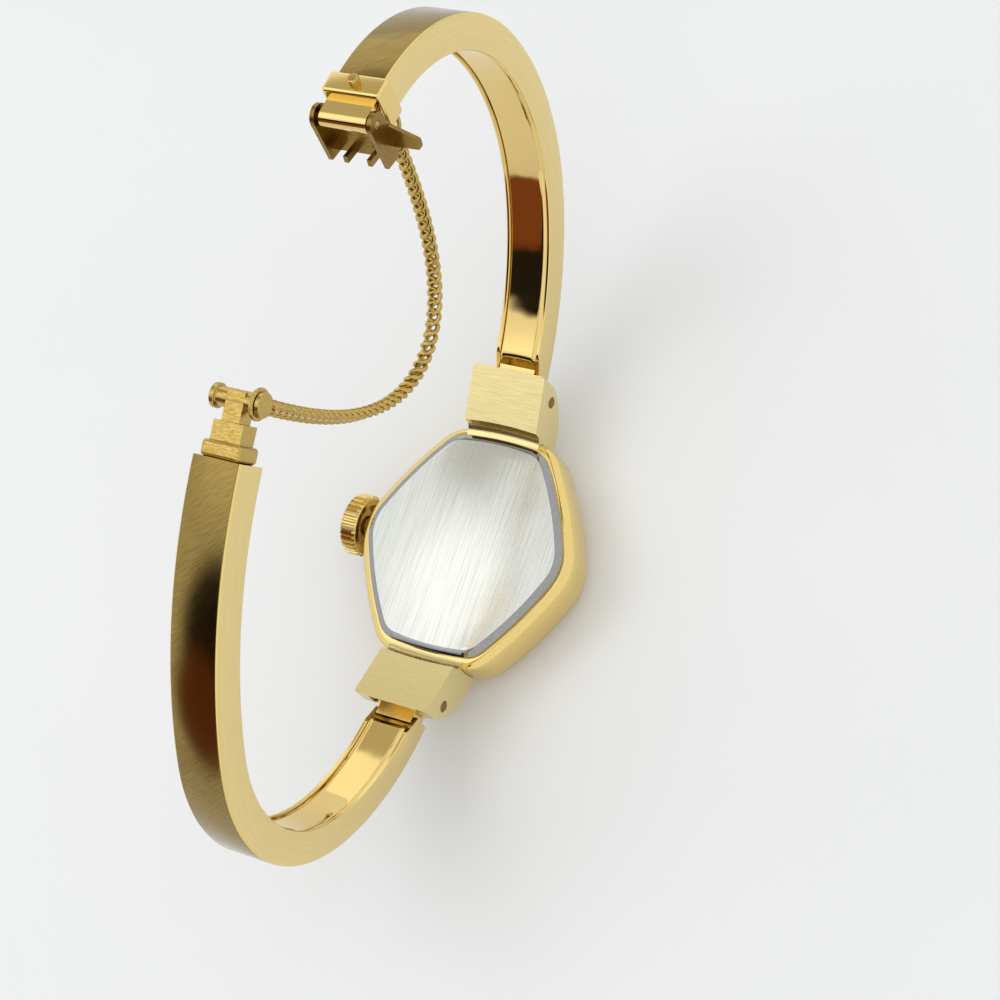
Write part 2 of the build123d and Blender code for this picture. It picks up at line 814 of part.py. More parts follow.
def oval(straight, end_radius, wire_radius):
    """Closed oval link, lying along X in its own XY plane."""
    half = straight / 2
    path = Line((-half, end_radius), (half, end_radius))
    path += ThreePointArc((half, end_radius), (half + end_radius, 0), (half, -end_radius))
    path += Line((half, -end_radius), (-half, -end_radius))
    path += ThreePointArc((-half, -end_radius), (-half - end_radius, 0), (-half, end_radius))
    section = Plane(origin=(0, end_radius, 0), x_dir=(0, 1, 0), z_dir=(1, 0, 0)) * Circle(wire_radius)
    start = Line((0, end_radius), (half, end_radius))
    rest = [start] + path.edges()[1:] + [Line((-half, end_radius), (0, end_radius))]
    return sweep(section, path=Wire(rest))


def laid(shape, start, end, flat, shift=0):
    """Put a link between two chain joints; flat links hold the X direction in their plane."""
    run = hypot(end[0] - start[0], end[1] - start[1])
    along = ((end[0] - start[0]) / run, (end[1] - start[1]) / run)
    middle = (chain_x, (start[0] + end[0]) / 2 + shift * along[0],
              (start[1] + end[1]) / 2 + shift * along[1])
    normal = (0, -along[1], along[0]) if flat else (1, 0, 0)
    place = Plane(origin=middle, x_dir=(0, along[0], along[1]), z_dir=normal)
    return place.location * shape


def make_chain():
    """Both halves of the chain, in groups of links that turn together.

    The link between the halves is left open, so that each half can follow its own arm.
    """
    nodes = chain_nodes()
    link = oval(link_straight, link_end_radius, link_wire_radius)
    pieces = []
    for index in range(len(nodes) - 1):
        start, end = nodes[index], nodes[index + 1]
        flat = index % 2 == 0
        if index == 0:
            pieces.append(laid(Torus(upper_ring_radius, ring_wire_radius), start, end, flat,
                               upper_ring_radius - upper_ring_pitch / 2))
        elif index == len(nodes) - 2:
            pieces.append(laid(Torus(lower_ring_radius, ring_wire_radius), start, end, flat,
                               lower_ring_pitch / 2 - lower_ring_reach))
        else:
            pieces.append(laid(link, start, end, flat))
    pieces = [piece.solid() for piece in pieces]
    half = len(pieces) // 2
    upper = pieces[:half - 1]
    lower = pieces[half:][::-1]
    for name, side in (("upper_chain", upper), ("lower_chain", lower)):
        first = links_per_group + 1
        bounds = [0] + [first + links_per_group * step for step in range(groups_per_side)]
        for group, (low, high) in enumerate(zip(bounds, bounds[1:])):
            parts[f"{name}_{group + 1}"] = Compound(side[low:high])


# Movement

low_wheel_z = plate_top + wheel_gap
low_pinion_z = low_wheel_z - wheel_gap / 2
middle_wheel_z = low_wheel_z + wheel_step
high_wheel_z = middle_wheel_z + wheel_step
arbor_top = bridge_z + pivot_seat
arbor_bottom = plate_top - pivot_seat
train_places = [(0, 0), third_centre, fourth_centre, escape_centre]


def arbor(centre, bottom, top):
    """Upright arbor."""
    return disc(centre, arbor_radius, bottom, top)


def gear_radii(distance, wheel_teeth, leaves):
    """Pitch radii of a wheel and the pinion that it drives."""
    share = wheel_teeth / (wheel_teeth + leaves)
    return distance * share, distance * (1 - share)


def distance_between(first, second):
    """Distance between two centres in plan."""
    return hypot(first[0] - second[0], first[1] - second[1])


barrel_pitch, centre_pinion_pitch = gear_radii(
    distance_between((0, 0), barrel_centre), barrel_teeth, centre_pinion_leaves)
centre_pitch, third_pinion_pitch = gear_radii(
    distance_between((0, 0), third_centre), centre_teeth, third_leaves)
third_pitch, fourth_pinion_pitch = gear_radii(
    distance_between(third_centre, fourth_centre), third_teeth, fourth_leaves)
fourth_pitch, escape_pinion_pitch = gear_radii(
    distance_between(fourth_centre, escape_centre), fourth_teeth, escape_leaves)
minute_distance = distance_between((0, 0), minute_centre)
minute_pitch, cannon_pitch = gear_radii(minute_distance, minute_teeth, cannon_leaves)
hour_pitch, minute_pinion_pitch = gear_radii(minute_distance, hour_teeth, minute_leaves)


def pinion(leaves, pitch, bottom, top, centre):
    """Small toothed pinion round an arbor."""
    return cogged(leaves, pitch, top - bottom, arbor_radius, bottom, centre, pinion_depth_share)


def make_train():
    """Going train from the barrel to the escape wheel."""
    wheel_top = low_wheel_z + wheel_thickness
    drum = disc(barrel_centre, drum_radius, low_wheel_z, low_wheel_z + drum_height)
    drum -= disc(barrel_centre, drum_radius - drum_wall, low_wheel_z + drum_wall,
                 low_wheel_z + drum_height - drum_wall)
    drum += cogged(barrel_teeth, barrel_pitch, wheel_thickness, barrel_arbor_radius,
                   low_wheel_z, barrel_centre)
    drum -= disc(barrel_centre, barrel_arbor_radius + fit_gap, arbor_bottom, bridge_top)
    parts["barrel_drum"] = drum
    coil_pitch = (drum_radius - drum_wall - barrel_arbor_radius - 4 * drum_wall) / mainspring_turns
    parts["mainspring"] = spiral(
        mainspring_turns, barrel_arbor_radius + drum_wall, coil_pitch, mainspring_thickness,
        drum_height - 4 * drum_wall, low_wheel_z + 2 * drum_wall, barrel_centre)
    shaft = disc(barrel_centre, barrel_arbor_radius, low_wheel_z, bridge_z)
    shaft += disc(barrel_centre, barrel_pivot_radius, arbor_bottom, bridge_top + wheel_lift)
    winder = cogged(ratchet_teeth, ratchet_radius, ratchet_height, barrel_pivot_radius,
                    bridge_top + wheel_lift, barrel_centre)
    shaft += disc(barrel_centre, barrel_pivot_radius, bridge_top, bridge_top + wheel_lift + ratchet_height)
    parts["barrel_arbor"] = shaft
    parts["ratchet_wheel"] = winder
    centre = spoked(centre_teeth, centre_pitch, wheel_thickness, high_wheel_z, (0, 0), wheel_rim)
    centre += pinion(centre_pinion_leaves, centre_pinion_pitch, low_pinion_z,
                     high_wheel_z, (0, 0))
    parts["centre_wheel"] = centre + arbor((0, 0), dial_z - centre_post, arbor_top)
    third = spoked(third_teeth, third_pitch, wheel_thickness, low_wheel_z, third_centre, wheel_rim)
    third += pinion(third_leaves, third_pinion_pitch, high_wheel_z - wheel_gap,
                    high_wheel_z + 2 * wheel_thickness, third_centre)
    parts["third_wheel"] = third + arbor(third_centre, arbor_bottom, arbor_top)
    fourth = spoked(fourth_teeth, fourth_pitch, wheel_thickness, middle_wheel_z, fourth_centre, wheel_rim)
    fourth += pinion(fourth_leaves, fourth_pinion_pitch, low_pinion_z, wheel_top + wheel_gap, fourth_centre)
    parts["fourth_wheel"] = fourth + arbor(fourth_centre, arbor_bottom, arbor_top)
    escape = cogged(escape_teeth, escape_radius, wheel_thickness, arbor_radius, low_wheel_z,
                    escape_centre, escape_depth_share)
    escape += pinion(escape_leaves, escape_pinion_pitch, middle_wheel_z - wheel_gap,
                     middle_wheel_z + 2 * wheel_thickness, escape_centre)
    parts["escape_wheel"] = escape + arbor(escape_centre, arbor_bottom, arbor_top)


def make_escapement():
    """Pallet fork, balance wheel and hairspring."""
    span = distance_between(pallet_centre, balance_centre)
    heading = degrees(atan2(balance_centre[1] - pallet_centre[1], balance_centre[0] - pallet_centre[0]))
    level = low_wheel_z + wheel_thickness / 2
    seat = Pos(pallet_centre[0], pallet_centre[1], level) * Rot(0, 0, heading)
    lever = Pos(pallet_fork_reach / 2, 0, 0) * Box(pallet_fork_reach, pallet_lever_width, wheel_thickness)
    fork_x = pallet_fork_reach - pallet_lever_width / 2
    lever += Pos(fork_x, 0, 0) * Box(pallet_lever_width, 3 * pallet_lever_width, wheel_thickness)
    facing = degrees(atan2(escape_centre[1] - pallet_centre[1], escape_centre[0] - pallet_centre[0]))
    anchor = Box(pallet_lever_width, 2 * pallet_span, wheel_thickness)
    for side in (-1, 1):
        anchor += Pos(pallet_stone_length / 2, side * pallet_span, 0) * Box(
            pallet_stone_length, pallet_lever_width, wheel_thickness)
    fork = seat * lever + Pos(pallet_centre[0], pallet_centre[1], level) * Rot(0, 0, facing) * anchor
    parts["pallet_fork"] = fork + arbor(pallet_centre, arbor_bottom, pallet_cock_z + pivot_seat)
    rim_z = middle_wheel_z - wheel_gap
    rim = disc(balance_centre, balance_radius, rim_z, rim_z + balance_rim_height)
    rim -= disc(balance_centre, balance_radius - balance_rim_width, rim_z - cut_over, rim_z + cut_over)
    arm = brick(2 * balance_radius - balance_rim_width, balance_rim_width, wheel_thickness,
                (balance_centre[0], balance_centre[1], rim_z + wheel_thickness / 2))
    roller = disc(balance_centre, span - pallet_fork_reach - 2 * wheel_gap, low_wheel_z,
                  low_wheel_z + wheel_thickness)
    staff = arbor(balance_centre, arbor_bottom, arbor_top)
    parts["balance_wheel"] = rim + arm + roller + staff
    parts["hairspring"] = spiral(hairspring_turns, hairspring_inner, hairspring_pitch, hairspring_wire,
                                 hairspring_height, rim_z + balance_rim_height + wheel_gap,
                                 balance_centre)


def rim_foot(low_angle, high_angle):
    """Part of the rim ring between plate and bridge, as a bridge's foot."""
    ring = Circle(movement_radius - rim_margin) - Circle(movement_radius - rim_margin - foot_width)
    face = ring & sector((0, 0), low_angle, high_angle, movement_radius)
    return Pos(0, 0, plate_top) * extrude(face, bridge_z - plate_top)


def bridge(face, feet):
    """Bridge plate with its feet, bored for pivots and screws."""
    body = Pos(0, 0, bridge_z) * extrude(face, bridge_thickness)
    for low_angle, high_angle in feet:
        body += rim_foot(low_angle, high_angle)
    return body


def make_plates():
    """Main plate, bridges and cocks."""
    plate = disc((0, 0), movement_radius, plate_z, plate_top)
    plate -= disc((0, 0), pocket_radius, plate_z, plate_z + pocket_depth)
    for place in train_places + [barrel_centre, pallet_centre, balance_centre]:
        plate -= disc(place, jewel_radius, plate_top - jewel_height, plate_top)
    plate -= disc((0, 0), arbor_radius + fit_gap, plate_z, plate_top)
    keyway_radius = winding_pinion_radius + wheel_gap
    keyway = bar_x(keyway_radius, -movement_radius - cut_over, -stem_inner_x, 0, stem_z)
    plate -= keyway
    parts["main_plate"] = plate
    top_radius = movement_radius - rim_margin
    apex = train_bridge_apex
    shift = (apex[0] - bridge_split * sin(radians(train_bridge_angles[1])),
             apex[1] + bridge_split * cos(radians(train_bridge_angles[1])))
    train = bridge(sector(apex, *train_bridge_angles, top_radius), train_bridge_feet)
    for place in train_places:
        train -= disc(place, jewel_radius, bridge_z, bridge_z + jewel_height)
    parts["train_bridge"] = train
    barrel = bridge(sector(shift, *barrel_bridge_angles, top_radius), barrel_bridge_feet)
    barrel -= disc(barrel_centre, barrel_pivot_radius + fit_gap, bridge_z, bridge_top)
    parts["barrel_bridge"] = barrel - keyway
    heading = degrees(atan2(balance_centre[1], balance_centre[0]))
    swing = cock_half_angle
    cock_face = sector((0, 0), heading - swing, heading + swing, top_radius) - Circle(
        hypot(*balance_centre) - 2 * jewel_radius)
    cock = bridge(cock_face, [(heading - swing, heading + swing)])
    parts["balance_cock"] = cock - disc(balance_centre, jewel_radius, bridge_z, bridge_z + jewel_height)
    pallet_heading = degrees(atan2(pallet_centre[1], pallet_centre[0]))
    reach = hypot(*pallet_centre)
    length = pallet_cock_length
    bridge_bar = Pos(reach - jewel_radius + length / 2, 0, pallet_cock_z + wheel_thickness) * Box(
        length, 2 * jewel_radius, 2 * wheel_thickness)
    foot_height = pallet_cock_z - plate_top
    bridge_bar += Pos(reach - jewel_radius + length - jewel_radius, 0, plate_top + foot_height / 2) * Box(
        2 * jewel_radius, 2 * jewel_radius, foot_height)
    bridge_bar = Rot(0, 0, pallet_heading) * bridge_bar
    bridge_bar -= disc(pallet_centre, arbor_radius + fit_gap, pallet_cock_z,
                       pallet_cock_z + 2 * wheel_thickness)
    parts["pallet_cock"] = bridge_bar
    ring = slab(-movement_ring_inset, plate_z, plate_z + movement_ring_height)
    ring -= disc((0, 0), movement_radius + fit_gap, plate_z, plate_z + movement_ring_height)
    parts["movement_ring"] = ring - bar_x(crown_tube_radius, -outline_nose_x, 0, 0, stem_z)


def make_jewels_and_screws():
    """Pivot jewels and bridge screws."""
    jewels = []
    lower = train_places + [barrel_centre, pallet_centre, balance_centre]
    for place in lower:
        bore = barrel_pivot_radius if place == barrel_centre else arbor_radius
        jewel = disc(place, jewel_radius, plate_top - jewel_height, plate_top)
        jewels.append(jewel - disc(place, bore + fit_gap, plate_z, bridge_top))
    for place in train_places + [balance_centre]:
        jewel = disc(place, jewel_radius, bridge_z, bridge_z + jewel_height)
        jewels.append(jewel - disc(place, arbor_radius + fit_gap, plate_z, bridge_top))
    parts["jewels"] = Compound([jewel.solid() for jewel in jewels])
    screws = []
    for angle in bridge_screw_angles:
        place = polar(movement_radius - rim_margin - foot_width / 2, angle)
        screw = disc(place, screw_head_radius, bridge_top, bridge_top + screw_head_height)
        screw -= brick(2 * screw_head_radius, screw_slot_width, screw_head_height,
                       (place[0], place[1], bridge_top + screw_head_height))
        screws.append(screw.solid())
    wheel_top = bridge_top + wheel_lift + ratchet_height
    post = disc(crown_wheel_centre, screw_head_radius - fit_gap, bridge_top, wheel_top + screw_head_height)
    post += disc(crown_wheel_centre, 2 * screw_head_radius, wheel_top + fit_gap,
                 wheel_top + screw_head_height)
    screws.append(post.solid())
    parts["bridge_screws"] = Compound(screws)


def make_motion_work():
    """Cannon pinion, minute wheel and hour wheel under the dial, with the dial and hands."""
    hour_level = plate_z + wheel_gap / 2
    cannon_level = hour_level + motion_height + wheel_gap / 2
    pocket_floor = plate_z + pocket_depth
    pipe_end = crystal_back + cannon_clearance
    cannon = cogged(cannon_leaves, cannon_pitch, pocket_floor - fit_gap - cannon_level, cannon_bore,
                    cannon_level, (0, 0))
    cannon += disc((0, 0), cannon_pipe_radius, pipe_end, cannon_level)
    parts["cannon_pinion"] = cannon - disc((0, 0), cannon_bore, pipe_end - cut_over, plate_top)
    minute = spoked(minute_teeth, minute_pitch, motion_height, cannon_level, minute_centre, motion_rim)
    minute += pinion(minute_leaves, minute_pinion_pitch, hour_level, cannon_level, minute_centre)
    parts["minute_wheel"] = minute + arbor(minute_centre, hour_level, pocket_floor)
    hour_bottom = dial_z - hour_pipe_reach
    hour = cogged(hour_teeth, hour_pitch, motion_height - fit_gap, cannon_pipe_radius + fit_gap,
                  hour_level, (0, 0))
    pipe = disc((0, 0), hour_pipe_radius, hour_bottom, hour_level)
    pipe -= disc((0, 0), cannon_pipe_radius + fit_gap, hour_bottom - cut_over, hour_level + cut_over)
    parts["hour_wheel"] = hour + pipe
    dial = slab(-bore_inset - fit_gap, dial_z, plate_z)
    parts["dial"] = dial - disc((0, 0), hour_pipe_radius + fit_gap, dial_z - cut_over, plate_z + cut_over)


def leaf_hand(length, bore, bottom):
    """Tapered hand with a round boss, pointing to 12 o'clock."""
    points = [(-hand_width / 2, 0), (0, length), (hand_width / 2, 0), (0, -hand_tail)]
    face = make_face(Polyline(*points, close=True)) + Circle(hand_boss_radius)
    face -= Circle(bore)
    return Pos(0, 0, bottom) * extrude(face, hand_thickness)


def make_hands():
    """Applied hour markers and both hands."""
    markers = []
    for hour in range(12):
        angle = 30 * hour
        reach = marker_radius
        marker = Pos(*polar(reach, angle), dial_z - marker_height / 2) * Rot(0, 0, angle) * Box(
            marker_length, marker_width, marker_height)
        markers.append(marker.solid())
    parts["hour_markers"] = Compound(markers)
    hour_z = dial_z - hour_pipe_reach
    minute_z = crystal_back + cannon_clearance
    hour_hand = leaf_hand(hour_hand_length, hour_pipe_radius, hour_z)
    minute_hand = leaf_hand(minute_hand_length, cannon_pipe_radius, minute_z)
    parts["hour_hand"] = Rot(0, 0, hour_hand_angle) * hour_hand
    parts["minute_hand"] = Rot(0, 0, minute_hand_angle) * minute_hand


def make_winding():
    """Crown, stem, pinions, crown wheel and levers."""
    case_x = outline_nose_x + body_overhang
    inner = case_x + crown_gap
    crown_points = []
    for flute in range(crown_flutes):
        for turn_share, depth_share in crown_flute_shares:
            reach = crown_radius - flute_depth * depth_share
            crown_points.append(polar(reach, 360 * (flute + turn_share) / crown_flutes))
    body = extrude(Plane.YZ * make_face(Polyline(*crown_points, close=True)), crown_length / 2, both=True)
    limit = Cylinder(crown_radius, crown_length, rotation=(0, 90, 0))
    limit = chamfer(limit.edges(), crown_edge_round)
    crown = Pos(-inner - crown_length / 2, 0, stem_z) * (body & limit)
    crown -= bar_x(crown_recess_radius, -inner - crown_recess_depth, -inner + cut_over, 0, stem_z)
    boss = bar_x(crown_boss_radius, -inner - crown_recess_depth, -inner, 0, stem_z)
    crown += boss
    tube_end = inner + crown_tube_reach
    stem = bar_x(stem_radius, -inner - crown_length / 2, -stem_inner_x, 0, stem_z)
    crown -= bar_x(stem_radius, -inner - crown_length / 2, -inner + cut_over, 0, stem_z)
    parts["crown"] = crown
    parts["winding_stem"] = stem
    tube = bar_x(crown_tube_radius, -case_x - crown_tube_reach, -movement_radius - rim_margin, 0, stem_z)
    tube -= bar_x(stem_radius + fit_gap, -tube_end - cut_over, 0, 0, stem_z)
    parts["crown_tube"] = tube
    gears = []
    for place, length in ((winding_pinion_x, winding_pinion_length),
                          (sliding_pinion_x, sliding_pinion_length)):
        gear = cogged(winding_pinion_teeth, winding_pinion_radius - wheel_gap, length,
                      stem_radius + fit_gap, 0, (0, 0))
        gears.append((Pos(-place - length / 2, 0, stem_z) * Rot(0, 90, 0) * gear).solid())
    parts["winding_pinions"] = Compound(gears)
    wheel_z = bridge_top + wheel_lift
    wheel = cogged(crown_wheel_teeth, crown_wheel_radius, ratchet_height, screw_head_radius, wheel_z,
                   crown_wheel_centre)
    parts["crown_wheel"] = wheel
    click_reach = ratchet_radius + click_length / 2
    place = polar(click_reach, click_angle)
    click = Pos(barrel_centre[0] + place[0], barrel_centre[1] + place[1], wheel_z + ratchet_height / 2)
    click = click * Rot(0, 0, click_angle + click_turn) * Box(click_length, click_width, ratchet_height)
    parts["click"] = click


def build():
    """Make every piece and write it."""
    make_case()
    make_hinges()
    make_arms()
    make_clasp()
    make_chain()
    make_plates()
    make_train()
    make_escapement()
    make_jewels_and_screws()
    make_motion_work()
    make_hands()
    make_winding()
    os.makedirs("parts", exist_ok=True)
    for name, shape in parts.items():
        export_step(shape, f"parts/{name}.step")


if __name__ == "__main__":
    build()
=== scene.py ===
"""Bangle watch lying on its face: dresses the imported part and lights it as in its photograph."""

import logging
import math
from dataclasses import dataclass, field
from enum import Enum, IntEnum
from typing import Any

import bmesh
import bpy
import numpy as np
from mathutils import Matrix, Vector


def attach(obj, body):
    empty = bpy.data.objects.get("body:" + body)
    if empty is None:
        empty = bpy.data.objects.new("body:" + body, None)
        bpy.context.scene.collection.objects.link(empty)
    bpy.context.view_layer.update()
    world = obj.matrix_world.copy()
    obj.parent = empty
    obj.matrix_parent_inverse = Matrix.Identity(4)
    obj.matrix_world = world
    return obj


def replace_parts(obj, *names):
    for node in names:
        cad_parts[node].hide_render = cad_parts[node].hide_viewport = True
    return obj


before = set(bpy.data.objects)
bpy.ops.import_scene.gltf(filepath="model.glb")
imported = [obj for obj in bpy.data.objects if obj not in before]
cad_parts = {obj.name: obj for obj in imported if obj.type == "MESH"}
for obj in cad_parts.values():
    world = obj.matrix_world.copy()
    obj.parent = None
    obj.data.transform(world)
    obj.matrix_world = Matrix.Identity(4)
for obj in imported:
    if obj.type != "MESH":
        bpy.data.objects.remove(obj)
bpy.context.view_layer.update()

log = logging.getLogger("bangle_watch")

MM = 0.001  # one millimetre in metres
WELD = 1e-7  # corners nearer than this are merged, in metres
SHARP_ANGLE = math.radians(32)  # an edge that turns by more stays sharp
FLAT_ANGLE = math.radians(0.6)  # faces that turn by less become one
CORNER_STEPS = 4  # steps round a profile's corner
LINE_DETAIL = 5.0  # octaves of the noise that draws the tool's lines
LINE_SHARPNESS = 0.65  # share that each finer octave keeps
WAVE_DETAIL = 2.0  # octaves of the sheet metal's unevenness
GRAIN_DETAIL = 3.0  # octaves of a mottle
HOLLOWS = (0.35, 0.70)  # noise values between which a line becomes a hollow
GLOSS_BAND = (0.30, 0.70)  # noise values between which the roughness changes
SMOOTHEST = 0.02  # least roughness of a metal


def linear(hex_colour: str) -> tuple[float, float, float, float]:
    """Turn an sRGB hex colour into linear light.

    A value v becomes v / 12.92 up to 0.04045, and ((v + 0.055) / 1.055) to the power 2.4 above.

    Args:
        hex_colour: Six hex digits after a hash.

    Returns:
        Red, green, blue and a full alpha.
    """
    raw = np.array([int(hex_colour[i:i + 2], 16) / 255 for i in (1, 3, 5)])
    light = np.where(raw <= 0.04045, raw / 12.92, ((raw + 0.055) / 1.055) ** 2.4)
    return (*light.tolist(), 1.0)


def add_node(tree: bpy.types.NodeTree, kind: str, settings: dict[str, Any] | None = None,
             inputs: dict[str | int, Any] | None = None) -> bpy.types.Node:
    """Add one node, set its options and fill or link its sockets.

    Args:
        tree: Node tree that gets the node.
        kind: Blender's type name of the node.
        settings: Options set on the node itself.
        inputs: Socket name or number to a value, or to another node's output socket.

    Returns:
        The new node.
    """
    node = tree.nodes.new(kind)
    for key, value in (settings or {}).items():
        setattr(node, key, value)
    for key, value in (inputs or {}).items():
        if isinstance(value, bpy.types.NodeSocket):
            tree.links.new(value, node.inputs[key])
        else:
            node.inputs[key].default_value = value
    return node


class Lay(Enum):
    """Which coordinates a surface pattern follows."""

    OBJECT = "Object"
    UV = "UV"


@dataclass(frozen=True)
class Finish:
    """What every finish has.

    Fields:
        name: Name of the material, after the real one and how its surface was made.
        colour: Main colour, as sRGB hex.
        shade: Second colour: a metal's in its hollows and where it is worn, else a mottle.
        roughness: Mean roughness.
    """

    name: str
    colour: str
    shade: str
    roughness: float

    def material(self) -> bpy.types.Material:
        """Return the finish's material, made on its first use."""
        made = bpy.data.materials.get(self.name)
        if made is None:
            made = bpy.data.materials.new(self.name)
            made.use_nodes = True
            made.node_tree.nodes.clear()
            shader = self._shader(made.node_tree)
            add_node(made.node_tree, "ShaderNodeOutputMaterial", inputs={"Surface": shader})
        return made

    def _blend(self, tree: bpy.types.NodeTree, share: bpy.types.NodeSocket) -> bpy.types.NodeSocket:
        """Mix the two colours by a share of the second."""
        return add_node(tree, "ShaderNodeMix", {"data_type": "RGBA"}, {
            "Factor": share, 6: linear(self.colour), 7: linear(self.shade)}).outputs[2]


@dataclass(frozen=True)
class MetalFinish(Finish):
    """A metal surface with fine lines left by its finishing tool.

    Fields:
        roughness_spread: How much the lines change the roughness.
        line_mm: Distance between the tool's lines.
        run_mm: Length of the tool's lines.
        depth_mm: Depth of the lines.
        lay: Coordinates that the lines follow.
        turn: Turn of the lines away from the first axis, in degrees, as three Euler angles.
        wave_mm: Length of the gentle unevenness of the sheet metal.
        wave_depth_mm: Depth of that unevenness, zero for none.
        shade_share: Share of the shade in the deepest hollows.
    """

    roughness_spread: float
    line_mm: float
    run_mm: float
    depth_mm: float
    lay: Lay = Lay.OBJECT
    turn: tuple[float, float, float] = (0.0, 0.0, 0.0)
    wave_mm: float = 6.0
    wave_depth_mm: float = 0.0
    shade_share: float = 0.35

    def _shader(self, tree: bpy.types.NodeTree) -> bpy.types.NodeSocket:
        """Build the nodes: stretched noise for the lines, wide noise for the sheet's waves.

        Args:
            tree: Node tree of the material.

        Returns:
            The shader's output.
        """
        place = add_node(tree, "ShaderNodeTexCoord").outputs[self.lay.value]
        turned = add_node(tree, "ShaderNodeMapping", inputs={
            "Vector": place, "Rotation": tuple(math.radians(a) for a in self.turn)}).outputs[0]
        run, line = 1 / (self.run_mm * MM), 1 / (self.line_mm * MM)
        stretched = add_node(tree, "ShaderNodeMapping", inputs={
            "Vector": turned, "Scale": (run, line, line)}).outputs[0]
        lines = add_node(tree, "ShaderNodeTexNoise", inputs={
            "Vector": stretched, "Scale": 1.0, "Detail": LINE_DETAIL,
            "Roughness": LINE_SHARPNESS}).outputs["Fac"]
        wear = add_node(tree, "ShaderNodeMapRange", inputs={
            "Value": lines, "From Min": HOLLOWS[0], "From Max": HOLLOWS[1], "To Min": 0.0,
            "To Max": self.shade_share}).outputs[0]
        rough = add_node(tree, "ShaderNodeMapRange", inputs={
            "Value": lines, "From Min": GLOSS_BAND[0], "From Max": GLOSS_BAND[1],
            "To Min": max(self.roughness - self.roughness_spread, SMOOTHEST),
            "To Max": self.roughness + self.roughness_spread}).outputs[0]
        bump = add_node(tree, "ShaderNodeBump", inputs={
            "Strength": 1.0, "Distance": self.depth_mm * MM, "Height": lines}).outputs[0]
        if self.wave_depth_mm:
            waves = add_node(tree, "ShaderNodeTexNoise", inputs={
                "Vector": place, "Scale": 1 / (self.wave_mm * MM),
                "Detail": WAVE_DETAIL}).outputs["Fac"]
            bump = add_node(tree, "ShaderNodeBump", inputs={
                "Strength": 1.0, "Distance": self.wave_depth_mm * MM, "Height": waves,
                "Normal": bump}).outputs[0]
        return add_node(tree, "ShaderNodeBsdfPrincipled", inputs={
            "Base Color": self._blend(tree, wear), "Metallic": 1.0, "Roughness": rough,
            "Normal": bump}).outputs[0]


@dataclass(frozen=True)
class PlainFinish(Finish):
    """A non-metal surface with a fine mottle.

    Fields:
        grain_mm: Size of the mottle's grains.
        transmission: Share of light that passes through.
        ior: Index of refraction.
    """

    grain_mm: float
    transmission: float = 0.0
    ior: float = 1.5

    def _shader(self, tree: bpy.types.NodeTree) -> bpy.types.NodeSocket:
        """Build the nodes: noise at the grain's size mixes the two colours.

        Args:
            tree: Node tree of the material.

        Returns:
            The shader's output.
        """
        place = add_node(tree, "ShaderNodeTexCoord").outputs["Object"]
        grain = add_node(tree, "ShaderNodeTexNoise", inputs={
            "Vector": place, "Scale": 1 / (self.grain_mm * MM),
            "Detail": GRAIN_DETAIL}).outputs["Fac"]
        return add_node(tree, "ShaderNodeBsdfPrincipled", inputs={
            "Base Color": self._blend(tree, grain), "Roughness": self.roughness,
            "IOR": self.ior, "Transmission Weight": self.transmission}).outputs[0]


# The lines of a real brush lie about 0.03 mm apart; here they are drawn coarser, so that they show.

# Gold-plated brass, brushed slantwise on the arms' outside: champagne gold painted darker than the
# arms' other gold, as painted shade for the dimmer reflections of that face, brown in the lines
BRUSHED_GOLD_PAINTED_SHADE = MetalFinish(
    "gold_plate_brushed_across_painted_shade", "#a0884f", "#5c481f", 0.15, 0.06, line_mm=0.10, run_mm=1.5,
    depth_mm=0.0035, lay=Lay.UV, turn=(0, 0, 52), wave_mm=5.0, wave_depth_mm=0.01, shade_share=0.5)
# Gold-plated brass, brushed along X on the hinge blocks: pale, nearly white where lit
BLOCK_GOLD = MetalFinish(
    "gold_plate_brushed_flat", "#f0dfa6", "#ccb87c", 0.24, 0.06, line_mm=0.06, run_mm=1.8,
    depth_mm=0.004, shade_share=0.5)
# Gold-plated brass, fine satin along the arms' side faces: a soft, even sheen
SATIN_GOLD = MetalFinish(
    "gold_plate_satin", "#f0d998", "#cdb06c", 0.22, 0.05, line_mm=0.05, run_mm=3.0,
    depth_mm=0.003, lay=Lay.UV)
# Gold-plated brass, polished like a mirror, a little uneven as bent sheet is
POLISHED_GOLD = MetalFinish(
    "gold_plate_polished", "#ecd28a", "#c9a655", 0.07, 0.03, line_mm=0.12, run_mm=4.0,
    depth_mm=0.0008, wave_mm=5.0, wave_depth_mm=0.02, shade_share=0.2)
# The arms' polished inner plates, with slow waves in their reflections
LINER_GOLD = MetalFinish(
    "gold_plate_mirror", "#ecd08a", "#d6b468", 0.05, 0.02, line_mm=0.10, run_mm=5.0,
    depth_mm=0.0006, lay=Lay.UV, wave_depth_mm=0.10, shade_share=0.2)
# Small polished pieces whose plating is a shade deeper and more worn; on the catch's neck the
# deeper colour also serves as painted shade
WORN_AND_SHADED_GOLD = MetalFinish(
    "gold_plate_worn_and_shaded", "#d3b669", "#6f5527", 0.18, 0.07, line_mm=0.10, run_mm=0.4,
    depth_mm=0.006, wave_mm=1.2, wave_depth_mm=0.02, shade_share=0.6)
# The lever's plating, with painted shade: its colour is dark for its underside, which mirrors
# something dark; brown in its hollows
LEVER_GOLD_PAINTED_SHADE = MetalFinish(
    "gold_plate_lever_painted_shade", "#a38444", "#4e3a17", 0.22, 0.07, line_mm=0.10, run_mm=0.4,
    depth_mm=0.006, wave_mm=1.2, wave_depth_mm=0.02, shade_share=0.6)
